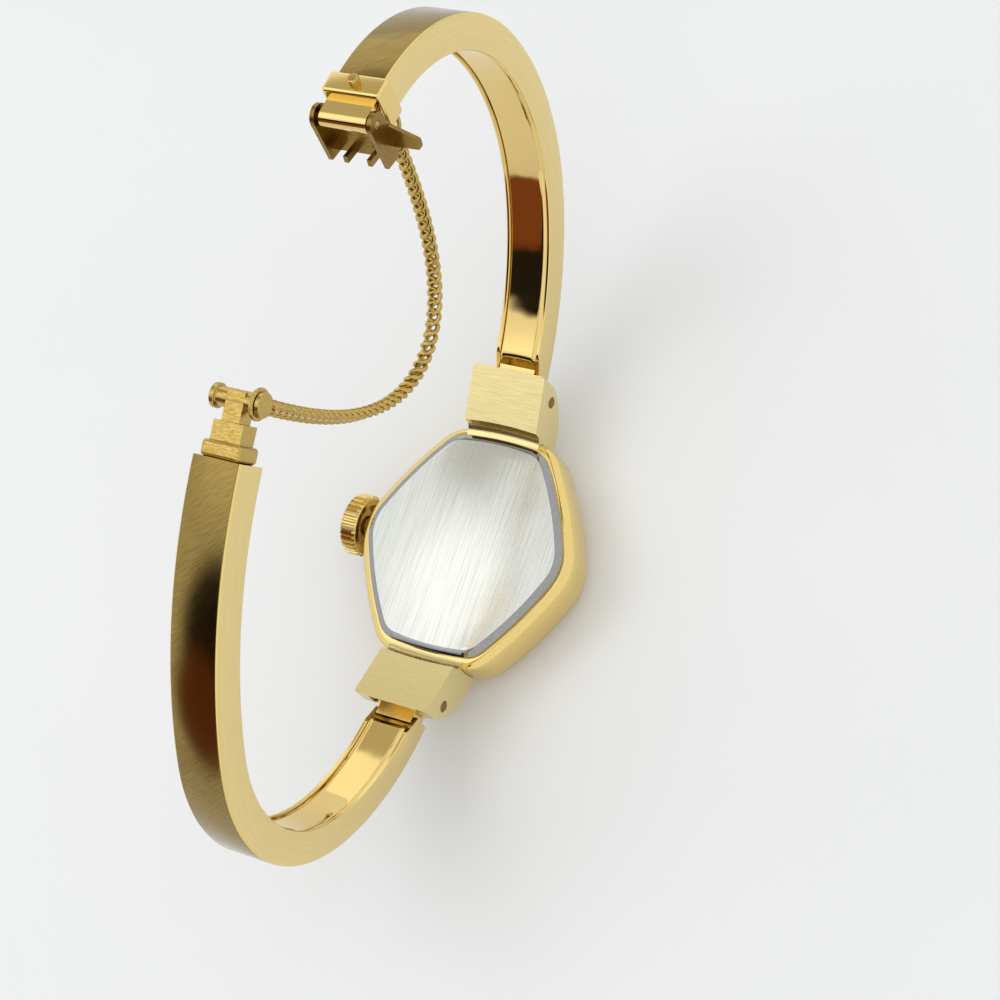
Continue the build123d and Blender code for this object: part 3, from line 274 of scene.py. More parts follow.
# The hinge pins' ends, dull, with painted shade: their colour is dark brown for the dark rings
# round the ends in their holes
PIN_GOLD_PAINTED_SHADE = MetalFinish("gold_plate_pin_painted_shade", "#8a6f38", "#35290f", 0.25, 0.08, line_mm=0.10,
                       run_mm=0.4, depth_mm=0.006)
# The crown's plating, polished and a little brown in its fine scratches
CROWN_GOLD = MetalFinish("gold_plate_crown", "#e6cb86", "#7a5c28", 0.18, 0.05, line_mm=0.08,
                         run_mm=0.6, depth_mm=0.003)
# Stainless steel, brushed from 12 to 6: long pale and grey streaks
BRUSHED_STEEL = MetalFinish(
    "stainless_steel_brushed", "#e9ebe8", "#b6b8b5", 0.26, 0.06, line_mm=0.09, run_mm=5.5,
    depth_mm=0.0035, turn=(0, 0, 90), shade_share=0.6)
# Stainless steel, polished on the back's bevel: a grey line round the back, its colour painted
# darker than the back's flat steel as painted shade for the dark reflections in the bevel
POLISHED_STEEL_PAINTED_SHADE = MetalFinish("stainless_steel_polished_painted_shade", "#a2a3a4", "#6a6b6d", 0.10, 0.04,
                             line_mm=0.15, run_mm=2.0, depth_mm=0.001)
# Nickel-plated brass of the plates and bridges: silvery, with a light grain
NICKEL = MetalFinish("nickel_plate_grained", "#cfcdc6", "#9c9a92", 0.34, 0.08, line_mm=0.06,
                     run_mm=2.0, depth_mm=0.003)
# Bare brass of the wheels: warm and softly shining
WHEEL_BRASS = MetalFinish("brass_wheel_blank", "#d9bd70", "#96783a", 0.28, 0.06, line_mm=0.05,
                          run_mm=1.5, depth_mm=0.002)
# Hardened steel of pinions, screws and stem: bright and smooth
HARD_STEEL = MetalFinish("hardened_steel_polished", "#c3c6ca", "#7d8188", 0.18, 0.05,
                         line_mm=0.06, run_mm=1.0, depth_mm=0.001)
# Blued spring steel: dark slate blue with a gloss
BLUE_STEEL = MetalFinish("spring_steel_blued", "#4f6078", "#2b3440", 0.25, 0.05, line_mm=0.06,
                         run_mm=1.0, depth_mm=0.001)
# Mineral glass of the crystal: clear, with sharp reflections
GLASS = PlainFinish("mineral_glass", "#fbfdfd", "#f3f8f8", 0.02, grain_mm=3.0, transmission=1.0)
# Synthetic ruby of the pivot jewels: deep red and half clear
RUBY = PlainFinish("synthetic_ruby", "#c2183c", "#8e0f2a", 0.05, grain_mm=0.2, transmission=0.4,
                   ior=1.77)
# Black nitrile rubber of the seals: dull black
RUBBER = PlainFinish("nitrile_rubber", "#17181a", "#222426", 0.6, grain_mm=0.1)
# Silvered and lacquered brass of the dial: pale, with a soft gloss
DIAL = PlainFinish("silvered_dial_lacquer", "#e9e6da", "#dad6c8", 0.35, grain_mm=0.08)
# White laminate of the table top: pale, without gloss
TABLE = PlainFinish("white_laminate", "#e9ebef", "#e5e7eb", 0.5, grain_mm=30.0)


def make_mesh(name: str, points: np.ndarray, faces: list[list[int]], uv: np.ndarray | None = None,
              face_slots: np.ndarray | None = None) -> bpy.types.Object:
    """Put points and faces into a smooth mesh object at the origin.

    Args:
        name: Name of the piece.
        points: Corners in metres, one row each.
        faces: Corner numbers of each face.
        uv: One pair of pattern coordinates for each face corner, in metres.
        face_slots: Material slot number of each face.

    Returns:
        The object, linked to the scene.
    """
    mesh = bpy.data.meshes.new(name)
    mesh.from_pydata(points.tolist(), [], faces)
    if uv is not None:
        layer = mesh.uv_layers.new(name="surface")
        layer.data.foreach_set("uv", uv.astype(np.float32).ravel())
    if face_slots is not None:
        mesh.polygons.foreach_set("material_index", face_slots.astype(np.int32))
    mesh.polygons.foreach_set("use_smooth", np.ones(len(mesh.polygons), bool))
    mesh.set_sharp_from_angle(angle=SHARP_ANGLE)
    mesh.validate()
    return in_scene(name, mesh)


def in_scene(name: str, mesh: bpy.types.Mesh) -> bpy.types.Object:
    """Put a mesh into the scene as an object at the origin, and report it.

    Args:
        name: Name of the piece.
        mesh: Its mesh.

    Returns:
        The new object.
    """
    made = bpy.data.objects.new(name, mesh)
    bpy.context.scene.collection.objects.link(made)
    log.info("piece %s, %d faces", name, len(mesh.polygons))
    return made


def stand_for(piece: bpy.types.Object, node: str, body: str,
              finishes: tuple[MetalFinish, ...]) -> None:
    """Dress a piece, set it on its body and let it stand for a CAD node.

    Args:
        piece: The piece.
        node: Name of the CAD node.
        body: Body that the piece rides on.
        finishes: Finishes of the piece's own material slots, in order.
    """
    for finish in finishes:
        piece.data.materials.append(finish.material())
    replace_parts(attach(piece, body), node)


def grid_faces(rows: int, columns: int, closed_rows: bool, closed_columns: bool) -> np.ndarray:
    """Corner numbers of a grid's four-sided faces.

    Face (i, j) joins grid points (i, j), (i, j + 1), (i + 1, j + 1) and (i + 1, j); a closed
    direction wraps its last point to its first.

    Args:
        rows: Number of rows of points.
        columns: Number of points in a row.
        closed_rows: Whether the last row joins the first.
        closed_columns: Whether the last column joins the first.

    Returns:
        An array with four corner numbers for each face.
    """
    i = np.arange(rows if closed_rows else rows - 1)[:, None]
    j = np.arange(columns if closed_columns else columns - 1)[None, :]
    ni, nj = (i + 1) % rows, (j + 1) % columns
    corners = (i * columns + j, i * columns + nj, ni * columns + nj, ni * columns + j)
    return np.stack([np.broadcast_to(c, (i.size, j.size)) for c in corners], -1).reshape(-1, 4)


def rounded_loop(corners: list[tuple[float, float]], radii: list[float]) -> np.ndarray:
    """Closed loop of points with an arc at each corner.

    At a corner with unit directions a and b to its neighbours and radius r, the arc starts
    r / tan(half angle) along a and ends as far along b; its points are spread evenly on a circle
    whose centre lies r / sin(half angle) along the bisector.

    Args:
        corners: Corner points, anticlockwise.
        radii: Radius at each corner, zero for a sharp one.

    Returns:
        Points of the loop, one row each.
    """
    pts = np.array(corners, float)
    loop = []
    for here, before, after, radius in zip(pts, np.roll(pts, 1, 0), np.roll(pts, -1, 0), radii):
        a = (before - here) / np.linalg.norm(before - here)
        b = (after - here) / np.linalg.norm(after - here)
        if radius <= 0:
            loop.append(here[None, :])
            continue
        half = math.acos(np.clip(a @ b, -1, 1)) / 2
        centre = here + (a + b) / np.linalg.norm(a + b) * radius / math.sin(half)
        start = here + a * radius / math.tan(half) - centre
        end = here + b * radius / math.tan(half) - centre
        t = np.linspace(0, 1, CORNER_STEPS + 1)[:, None]
        spread = math.acos(np.clip(start @ end / radius ** 2, -1, 1))
        arc = (np.sin((1 - t) * spread) * start + np.sin(t * spread) * end) / math.sin(spread)
        loop.append(centre + arc)
    return np.concatenate(loop)


@dataclass(frozen=True)
class ArmPath:
    """Middle line of one bangle arm: three tangent bends, in millimetres, from its hinge pin.

    Fields:
        side: 1 for the arm at 12 o'clock, -1 for the arm at 6 o'clock.
        start_angle: Direction at the pin, in degrees above the Y axis.
        radii: Radius of each bend.
        lengths: Length of each bend.
        pin_y: Distance of the hinge pin from the watch's middle, along Y.
        pin_z: Height of the hinge pin.
    """

    side: int
    start_angle: float
    radii: tuple[float, float, float]
    lengths: tuple[float, float, float]
    pin_y: float = 13.75
    pin_z: float = 6.35

    @property
    def total(self) -> float:
        """Length of the whole middle line."""
        return sum(self.lengths)

    def place(self, along: np.ndarray, inward: np.ndarray) -> np.ndarray:
        """Points beside the middle line.

        Each bend is an arc: from its start, at angle a, the line turns by s / R and moves by
        R (sin(a + s / R) - sin a) along Y and R (cos a - cos(a + s / R)) along Z. The point is
        then moved inwards, at right angles to the line.

        Args:
            along: Length along the line.
            inward: Distance towards the wrist, of the same shape.

        Returns:
            Y and Z of each point, in a last axis of two.
        """
        stops = np.concatenate([[0], np.cumsum(self.lengths)])
        bend = np.clip(np.searchsorted(stops, along, side="right") - 1, 0, len(self.radii) - 1)
        y0, z0, a0 = [self.pin_y], [self.pin_z], [math.radians(self.start_angle)]
        for radius, length in zip(self.radii, self.lengths):
            turned = a0[-1] + length / radius
            y0.append(y0[-1] + radius * (math.sin(turned) - math.sin(a0[-1])))
            z0.append(z0[-1] + radius * (math.cos(a0[-1]) - math.cos(turned)))
            a0.append(turned)
        radius = np.array(self.radii)[bend]
        start = np.array(a0)[bend]
        angle = start + (along - stops[bend]) / radius
        y = np.array(y0)[bend] + radius * (np.sin(angle) - np.sin(start)) - inward * np.sin(angle)
        z = np.array(z0)[bend] + radius * (np.cos(start) - np.cos(angle)) + inward * np.cos(angle)
        return np.stack([self.side * y, z], -1)


class ArmFace(IntEnum):
    """Material slot of each kind of face on an arm's piece."""

    OUTSIDE = 0
    SIDE = 1
    INSIDE = 2


@dataclass
class BangleArm:
    """One half of the bangle: a gold channel closed by a polished plate.

    Fields:
        name: "upper" or "lower".
        path: Middle line of the arm.
        width: Width across the arm, in millimetres, as are the rest.
        thickness: Thickness through the arm.
        wall: Wall of the channel.
        liner: Thickness of the inner plate.
        recess: Depth of the plate below the channel's rims.
        shell_root: Length along the middle line where the channel starts.
        liner_root: Length where the plate starts.
        bevel_length: Length of the wedge that is taken off the rims at the root.
        bevel_depth: Depth of that wedge.
        edge: Round of the channel's outer corners.
        rim_edge: Round of the rims.
        step: Distance between stations along the arm.
        plate_gap: Play between the plate and the channel's wall.
        bow_points: Points across the plate's bow.
        crown_drop: Fall of the plate's gentle bow from its middle to its edges.
        roll_width: Width of the plate's rolled edges.
        roll_drop: Further fall of the plate over a rolled edge.
        roll_sides: Which of the plate's edges are rolled: 1 away from the crown, -1 beside it.
    """

    name: str
    path: ArmPath
    width: float = 4.10
    thickness: float = 2.80
    wall: float = 0.34
    liner: float = 0.35
    recess: float = 0.14
    shell_root: float = 1.75
    liner_root: float = 2.35
    bevel_length: float = 2.00
    bevel_depth: float = 0.80
    edge: float = 0.24
    rim_edge: float = 0.09
    step: float = 0.22
    plate_gap: float = 0.04
    bow_points: int = 25
    crown_drop: float = 0.03
    roll_width: float = 0.40
    roll_drop: float = 0.16
    roll_sides: tuple[int, ...] = (-1, 1)

    def _swept(self, name: str, loop: np.ndarray, start: float) -> bpy.types.Object:
        """Carry a closed profile along the arm and close its ends.

        The surface is P(s, k) = path point at length s, moved inwards by the profile's second
        value and across by its first. Near the root the inward value is held under a straight
        line that falls by the bevel's depth over the bevel's length. The pattern's coordinates
        are the length along the arm and the length round the profile.

        Args:
            name: Name of the piece.
            loop: Profile points: across and inward.
            start: Length along the arm where the piece starts.

        Returns:
            The piece.
        """
        count = int((self.path.total - start) / self.step) + 2
        stations = np.linspace(start, self.path.total, count)
        top = self.thickness / 2
        limit = top - self.bevel_depth * (1 - (stations - self.shell_root) / self.bevel_length)
        along = np.repeat(stations[:, None], len(loop), 1)
        inward = np.minimum(loop[None, :, 1], np.minimum(limit, top)[:, None])
        yz = self.path.place(along, inward)
        across = np.broadcast_to(loop[None, :, 0] * self.path.side, along.shape)
        points = np.concatenate([across[..., None], yz], -1).reshape(-1, 3) * MM
        faces = grid_faces(len(stations), len(loop), False, True)
        columns = faces[:, :2] % len(loop)
        seam = np.linalg.norm(np.roll(loop, -1, 0) - loop, axis=1)
        around = np.concatenate([[0], np.cumsum(seam)])
        low = around[columns[:, 0]]
        high = around[columns[:, 0] + 1]
        row_a = stations[faces[:, 0] // len(loop)]
        row_b = stations[faces[:, 2] // len(loop)]
        uv = np.stack([np.stack([row_a, low], -1), np.stack([row_a, high], -1),
                       np.stack([row_b, high], -1), np.stack([row_b, low], -1)], 1).reshape(-1, 2)
        middle = (loop[columns[:, 0]] + loop[columns[:, 1]]) / 2
        near = self.rim_edge / 4
        slots = np.full(len(faces), ArmFace.INSIDE)
        slots[np.abs(middle[:, 0]) > self.width / 2 - near] = ArmFace.SIDE
        slots[middle[:, 1] < near - top] = ArmFace.OUTSIDE
        last = len(points) - len(loop)
        caps = [list(range(len(loop)))[::-1], list(range(last, last + len(loop)))]
        cap_uv = np.concatenate([loop[::-1], loop])
        return make_mesh(name, points, faces.tolist() + caps, np.concatenate([uv, cap_uv]) * MM,
                         np.concatenate([slots, [ArmFace.INSIDE] * len(caps)]))

    def shell(self) -> None:
        """Make the channel with rounded edges, brushed outside with painted shade in its darker
        gold, and satin at its sides.
        """
        half, top, wall = self.width / 2, self.thickness / 2, self.wall
        floor = wall - top
        corners = [(-half, -top), (half, -top), (half, top), (half - wall, top),
                   (half - wall, floor), (wall - half, floor), (wall - half, top), (-half, top)]
        rims = [self.rim_edge] * 2
        radii = [self.edge, self.edge, *rims, 0, 0, *rims]
        loop = rounded_loop(corners, radii)
        made = self._swept(f"{self.name}_arm_channel", loop, self.shell_root)
        stand_for(made, f"{self.name}_arm_shell", f"{self.name}_arm",
                  (BRUSHED_GOLD_PAINTED_SHADE, SATIN_GOLD, POLISHED_GOLD))

    def plate(self) -> None:
        """Make the polished inner plate.

        With u across over the plate's half width, its face falls from the middle by the bow's
        drop times u squared. Over a rolled edge it falls further, by the roll's drop times the
        square of the share of the roll's width that is passed.
        """
        half = self.width / 2 - self.wall - self.plate_gap
        top = self.thickness / 2 - self.recess
        across = np.linspace(half - self.rim_edge, self.rim_edge - half, self.bow_points)
        turned = np.max([across * self.path.side * side for side in self.roll_sides], axis=0)
        rolled = np.clip((turned - half + self.roll_width) / self.roll_width, 0, 1)
        crown = top - self.crown_drop * (across / half) ** 2 - self.roll_drop * rolled ** 2
        loop = np.concatenate([[(-half, top - self.liner), (half, top - self.liner),
                                (half, top - self.rim_edge)], np.stack([across, crown], -1),
                               [(-half, top - self.rim_edge)]])
        made = self._swept(f"{self.name}_arm_plate", loop, self.liner_root)
        stand_for(made, f"{self.name}_arm_liner", f"{self.name}_arm",
                  (LINER_GOLD,) * len(ArmFace))

    def build(self) -> None:
        """Make both pieces of the arm."""
        self.shell()
        self.plate()


@dataclass(frozen=True)
class CaseOutline:
    """Six-sided outline of the case with bowed sides and rounded corners, in millimetres.

    Fields:
        nose_x: X of the corners at 3 and 9 o'clock, before they are rounded.
        corner_x: X of the four other corners.
        corner_y: Y of those four.
        long_bow: Bow of the four long sides.
        short_bow: Bow of the two short sides.
        nose_radius: Round of the corners at 3 and 9 o'clock.
        corner_radius: Round of the other corners.
        arc_steps: Points on each arc.
    """

    nose_x: float = 9.45
    corner_x: float = 4.35
    corner_y: float = 9.25
    long_bow: float = 0.42
    short_bow: float = 0.36
    nose_radius: float = 4.2
    corner_radius: float = 2.4
    arc_steps: int = 26

    def loop(self) -> tuple[np.ndarray, np.ndarray]:
        """Points of the outline and the outward direction at each.

        A side with chord c and bow b lies on a circle of radius (c^2 / 4 + b^2) / 2b. A corner of
        radius r is a circle that touches both sides from inside: its centre is as far from a
        side's centre as that side's radius less r. Each arc is sampled evenly by angle.

        Returns:
            Points and unit normals, anticlockwise.
        """
        x, y = self.corner_x, self.corner_y
        right_half = np.array([(self.nose_x, 0), (x, y), (-x, y)])
        corners = np.concatenate([right_half, -right_half])
        bows = [self.long_bow, self.short_bow, self.long_bow] * 2
        centres, radii = [], []
        for start, end, bow in zip(corners, np.roll(corners, -1, 0), bows):
            chord = np.linalg.norm(end - start)
            radius = (chord ** 2 / 4 + bow ** 2) / (2 * bow)
            normal = np.array([end[1] - start[1], start[0] - end[0]]) / chord
            centres.append((start + end) / 2 + normal * (bow - radius))
            radii.append(radius)
        rounds = [self.nose_radius, self.corner_radius, self.corner_radius] * 2
        small = []
        for index, (corner, rounding) in enumerate(zip(corners, rounds)):
            c1, c2 = centres[index - 1], centres[index]
            d1, d2 = radii[index - 1] - rounding, radii[index] - rounding
            gap = np.linalg.norm(c2 - c1)
            along = (d1 ** 2 - d2 ** 2 + gap ** 2) / (2 * gap)
            height = math.sqrt(max(d1 ** 2 - along ** 2, 0))
            axis = (c2 - c1) / gap
            foot = c1 + axis * along
            side = np.array([-axis[1], axis[0]]) * height
            small.append(min((foot + side, foot - side), key=lambda p: np.linalg.norm(p - corner)))
        points, normals = [], []
        for index, rounding in enumerate(rounds):
            before = small[index] - centres[index - 1]
            after = small[index] - centres[index]
            far = small[(index + 1) % len(small)] - centres[index]
            for centre, radius, a, b in ((small[index], rounding, before, after),
                                         (centres[index], radii[index], after, far)):
                start, end = np.arctan2(a[1], a[0]), np.arctan2(b[1], b[0])
                end += 2 * math.pi if end < start else 0
                angles = np.linspace(start, end, self.arc_steps, endpoint=False)
                ray = np.stack([np.cos(angles), np.sin(angles)], -1)
                points.append(centre + radius * ray)
                normals.append(ray)
        return np.concatenate(points), np.concatenate(normals)


@dataclass
class WatchCase:
    """Case middle and bezel as profiles carried round the outline, and the steel back.

    Fields:
        outline: The case's outline.
        back_z: Height of the back's flat face, in millimetres, as are the rest.
        back_edge: Width of the back's softened edges.
        flat_slack: How far under that height a face still belongs to the flat face.
        upright: Least Z of the normal of a face of the flat face.
        middle_profile: Outward distance, height and round of each corner of the middle's section.
        bezel_profile: The same for the bezel's section.
    """

    outline: CaseOutline = field(default_factory=CaseOutline)
    back_z: float = 6.50
    back_edge: float = 0.03
    flat_slack: float = 0.02
    upright: float = 0.99
    middle_profile: tuple[tuple[float, float, float], ...] = (
        (-1.30, 1.25, 0.0), (-0.58, 1.25, 0.0), (-0.58, 1.60, 0.0), (0.90, 1.60, 0.95),
        (0.90, 5.85, 0.78), (-0.45, 5.85, 0.05), (-0.45, 5.60, 0.0), (-0.80, 5.60, 0.0),
        (-0.80, 5.85, 0.0), (-1.30, 5.85, 0.0))
    bezel_profile: tuple[tuple[float, float, float], ...] = (
        (-1.75, 0.0, 0.08), (-0.70, 0.0, 0.20), (0.30, 0.75, 0.30), (0.30, 1.60, 0.05),
        (-0.55, 1.60, 0.0), (-0.55, 0.35, 0.0), (-1.75, 0.35, 0.05))

    def _ring(self, name: str, profile: tuple[tuple[float, float, float], ...]) -> bpy.types.Object:
        """Carry a closed profile round the outline.

        The surface is P(u, k) = outline point u moved outwards by the profile's first value, at
        the height of its second value.

        Args:
            name: Name of the piece.
            profile: Outward distance, height and corner round of each profile corner.

        Returns:
            The piece.
        """
        loop = rounded_loop([row[:2] for row in profile], [row[2] for row in profile])
        points, normals = self.outline.loop()
        plan = points[:, None, :] + normals[:, None, :] * loop[None, :, :1]
        height = np.broadcast_to(loop[None, :, 1:], (*plan.shape[:2], 1))
        grid = np.concatenate([plan, height], -1)
        faces = grid_faces(len(points), len(loop), True, True)[:, ::-1]
        return make_mesh(name, grid.reshape(-1, 3) * MM, faces.tolist())

    def build(self) -> None:
        """Make the case middle and the bezel, and dress the back, the seals and the crystal."""
        for name, profile, node in (("case_band", self.middle_profile, "case_middle"),
                                    ("bezel_ring", self.bezel_profile, "bezel")):
            stand_for(self._ring(name, profile), node, "case", (POLISHED_GOLD,))
        self._back()
        dress("gaskets", RUBBER)
        dress("crystal", GLASS)

    def _back(self) -> None:
        """Dress the back: brushed where it is flat and at its full height, polished elsewhere, with
        painted shade in the polished steel's darker colour.
        """
        mesh = finished_copy("case_back", "case", self.back_edge,
                             (BRUSHED_STEEL, POLISHED_STEEL_PAINTED_SHADE)).data
        normal = np.zeros(len(mesh.polygons) * 3)
        centre = np.zeros(len(mesh.polygons) * 3)
        mesh.polygons.foreach_get("normal", normal)
        mesh.polygons.foreach_get("center", centre)
        lowest = (self.back_z - self.flat_slack) * MM
        flat = (normal[2::3] > self.upright) & (centre[2::3] > lowest)
        mesh.polygons.foreach_set("material_index", np.where(flat, 0, 1).astype(np.int32))


def finished_copy(node: str, body: str, edge_mm: float,
                  finishes: tuple[MetalFinish, ...], segments: int = 2) -> bpy.types.Object:
    """Copy a CAD node with its triangles merged and its edges softened.

    Args:
        node: Name of the CAD node that the copy stands for.
        body: Body that it rides on.
        edge_mm: Width of the softened edges, zero to leave them sharp.
        finishes: Finishes of the copy's material slots.
        segments: Steps across a softened edge.

    Returns:
        The copy.
    """
    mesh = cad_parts[node].data.copy()
    mesh.name = f"{node}_finished"
    work = bmesh.new()
    work.from_mesh(mesh)
    bmesh.ops.remove_doubles(work, verts=work.verts, dist=WELD)
    bmesh.ops.dissolve_limit(work, angle_limit=FLAT_ANGLE, verts=work.verts, edges=work.edges)
    work.to_mesh(mesh)
    work.free()
    mesh.materials.clear()
    for name in ("custom_normal", "sharp_edge", "sharp_face"):
        if name in mesh.attributes:
            mesh.attributes.remove(mesh.attributes[name])
    mesh.polygons.foreach_set("use_smooth", np.ones(len(mesh.polygons), bool))
    mesh.polygons.foreach_set("material_index", np.zeros(len(mesh.polygons), np.int32))
    mesh.set_sharp_from_angle(angle=SHARP_ANGLE)
    made = in_scene(f"{node}_finished", mesh)
    if edge_mm > 0:
        bevel = made.modifiers.new("softened_edges", "BEVEL")
        bevel.width = edge_mm * MM
        bevel.segments = segments
        bevel.limit_method = "ANGLE"
        bevel.angle_limit = SHARP_ANGLE
    stand_for(made, node, body, finishes)
    return made


def dress(node: str, finish: Finish) -> None:
    """Give a CAD node that stays in view its finish.

    Args:
        node: Name of the CAD node.
        finish: Its finish.
    """
    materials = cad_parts[node].data.materials
    materials.clear()
    materials.append(finish.material())
    log.info("dressed %s", node)


@dataclass
class HingeBlocks:
    """Hooded blocks at 12 and 6 with their pins and the arms' knuckles.

    Fields:
        edge: Width of the blocks' softened edges, in millimetres.
        edge_steps: Steps across a softened edge.
        pin_edge: Width of the pins' softened edges, zero for sharp ones.
    """

    edge: float = 0.10
    edge_steps: int = 3
    pin_edge: float = 0.0

    def build(self) -> None:
        """Soften and dress the blocks, pins and knuckles."""
        for name in ("upper", "lower"):
            finished_copy(f"{name}_hinge_block", "case", self.edge, (BLOCK_GOLD,),
                          self.edge_steps)
            dress(f"{name}_hinge_knuckle", SATIN_GOLD)
        finished_copy("hinge_pins", "case", self.pin_edge, (PIN_GOLD_PAINTED_SHADE,))


@dataclass
class Clasp:
    """Snap clasp on the upper arm and the catch on the lower arm.

    Fields:
        edge: Width of the softened edges, in millimetres; the pins have half of it.
    """

    edge: float = 0.06

    def build(self) -> None:
        """Soften and dress the clasp's pieces."""
        for node, body, edge, finish in (
                ("clasp_housing", "upper_arm", self.edge, POLISHED_GOLD),
                ("clasp_lever", "lever", self.edge, LEVER_GOLD_PAINTED_SHADE),
                ("clasp_pins", "upper_arm", self.edge / 2, WORN_AND_SHADED_GOLD),
                # The catch's neck takes the deeper worn gold as painted shade, since its upward
                # face would else look too bright
                ("catch_neck", "lower_arm", self.edge, WORN_AND_SHADED_GOLD),
                ("catch_bar", "lower_arm", self.edge, WORN_AND_SHADED_GOLD)):
            finished_copy(node, body, edge, (finish,))


Wires = tuple[np.ndarray, np.ndarray]  # points and faces


@dataclass
class SafetyChain:
    """Curb chain between a ring on the clasp's eyelet and a ring on the catch bar.

    Fields:
        chain_x: Distance of the chain from the middle plane, in millimetres, as are the rest.
        shape: Radius of the catenary's lowest bend.
        low_y: Y of the catenary's lowest point.
        floor: Z of that point less the shape.
        upper_stops: Lengths along the catenary where the upper half's groups start and end.
        lower_stops: The same for the lower half.
        pitch: Distance between links.
        wire: Radius of the link's wire.
        long_half: Half length of a link's middle line, along its leaning axis.
        wide_half: Half width of that line.
        twist: How far the wire leaves the link's plane.
        lean: Lean of the link's long axis from the chain's line, in degrees.
        rings: Radius of the upper and the lower ring.
        ring_wire: Radius of the rings' wire.
        ring_reach: Distance of each ring's centre from its eyelet or bar.
        steps: Points along a wire.
        ring_steps: Points round a wire.
    """

    chain_x: float = 1.47
    shape: float = 5.46442
    low_y: float = 9.24974
    floor: float = 20.59861
    upper_stops: tuple[float, ...] = (21.221, 19.381, 14.181, 8.981, 3.779, -1.427)
    lower_stops: tuple[float, ...] = (-23.644, -22.600, -17.032, -11.831, -6.631, -1.427)
    pitch: float = 0.84
    wire: float = 0.20
    long_half: float = 0.64
    wide_half: float = 0.56
    twist: float = 0.16
    lean: float = 38.0
    rings: tuple[float, float] = (1.05, 1.00)
    ring_wire: float = 0.19
    ring_reach: tuple[float, float] = (0.79, 0.09)
    steps: int = 32
    ring_steps: int = 10

    def _hang(self, length: np.ndarray) -> tuple[np.ndarray, np.ndarray]:
        """Place and direction along the hanging line.

        The line is the catenary z = floor + shape cosh(v) with v = (y - low_y) / shape; the
        length from its lowest point is shape sinh(v), and its direction is (1, sinh v) / cosh v.

        Args:
            length: Lengths from the lowest point, positive towards the upper arm.

        Returns:
            Y and Z of each place, and the unit direction there.
        """
        v = np.arcsinh(length / self.shape)
        place = np.stack([self.low_y + self.shape * v, self.floor + self.shape * np.cosh(v)], -1)
        heading = np.stack([np.ones_like(v), np.sinh(v)], -1) / np.cosh(v)[:, None]
        return place, heading

    def _wires(self, centre: np.ndarray, long_axis: np.ndarray, wide_axis: np.ndarray,
               halves: tuple[float, float], twist: float, wire: float) -> Wires:
        """Closed round wires, one for each centre.

        The wire's middle line is C + a A cos t + b B sin t + c N sin 2t, with N at right angles
        to A and B. Its round section is spanned by O, the cross product of the line's direction
        and N, and by the cross product of O and that direction.

        Args:
            centre: Centres, one row each.
            long_axis: Unit axis A of each wire.
            wide_axis: Unit axis B of each wire.
            halves: Half sizes a and b.
            twist: Size c of the twist.
            wire: Radius of the wire.

        Returns:
            Points and faces of all wires together.
        """
        t = np.linspace(0, 2 * math.pi, self.steps, endpoint=False)[None, :, None]
        normal = np.cross(long_axis, wide_axis)[:, None, :]
        a, b = long_axis[:, None, :], wide_axis[:, None, :]
        line = centre[:, None, :] + halves[0] * a * np.cos(t) + halves[1] * b * np.sin(t)
        line = line + twist * normal * np.sin(2 * t)
        run = halves[1] * b * np.cos(t) - halves[0] * a * np.sin(t)
        run = run + 2 * twist * normal * np.cos(2 * t)
        run = run / np.linalg.norm(run, axis=-1, keepdims=True)
        out = np.cross(run, np.broadcast_to(normal, run.shape))
        out = out / np.linalg.norm(out, axis=-1, keepdims=True)
        rise = np.cross(out, run)
        turn = np.linspace(0, 2 * math.pi, self.ring_steps, endpoint=False)
        points = (line[:, :, None, :] + wire * (out[:, :, None, :] * np.cos(turn)[:, None]
                                                + rise[:, :, None, :] * np.sin(turn)[:, None]))
        faces = grid_faces(self.steps, self.ring_steps, True, True)[:, ::-1]
        offsets = np.arange(len(centre))[:, None, None] * self.steps * self.ring_steps
        return points.reshape(-1, 3), (faces[None] + offsets).reshape(-1, 4)

    def _links(self, start: float, end: float) -> Wires:
        """Curb links between two lengths of the hanging line, all leaning the same way.

        With the line's direction T, the direction S across it and F at right angles to both, a
        link that leans by L has the long axis T cos L + S sin L, and the wide axis
        (S cos L - T sin L) cos L + F sin L.

        Args:
            start: Length at one end of the group.
            end: Length at its other end.

        Returns:
            Points and faces of the group's links.
        """
        low, high = min(start, end), max(start, end)
        first = math.ceil(low / self.pitch - 0.5)
        last = math.ceil(high / self.pitch - 0.5)
        place, heading = self._hang((np.arange(first, last) + 0.5) * self.pitch)
        centre = np.concatenate([np.full((len(place), 1), self.chain_x), place], -1)
        along = np.concatenate([np.zeros((len(place), 1)), heading], -1)
        side = np.broadcast_to([1.0, 0.0, 0.0], along.shape)
        front = np.cross(side, along)
        lean = math.radians(self.lean)
        cos, sin = math.cos(lean), math.sin(lean)
        long_axis = along * cos + side * sin
        wide_axis = (side * cos - along * sin) * cos + front * sin
        return self._wires(centre, long_axis, wide_axis, (self.long_half, self.wide_half),
                           self.twist, self.wire)

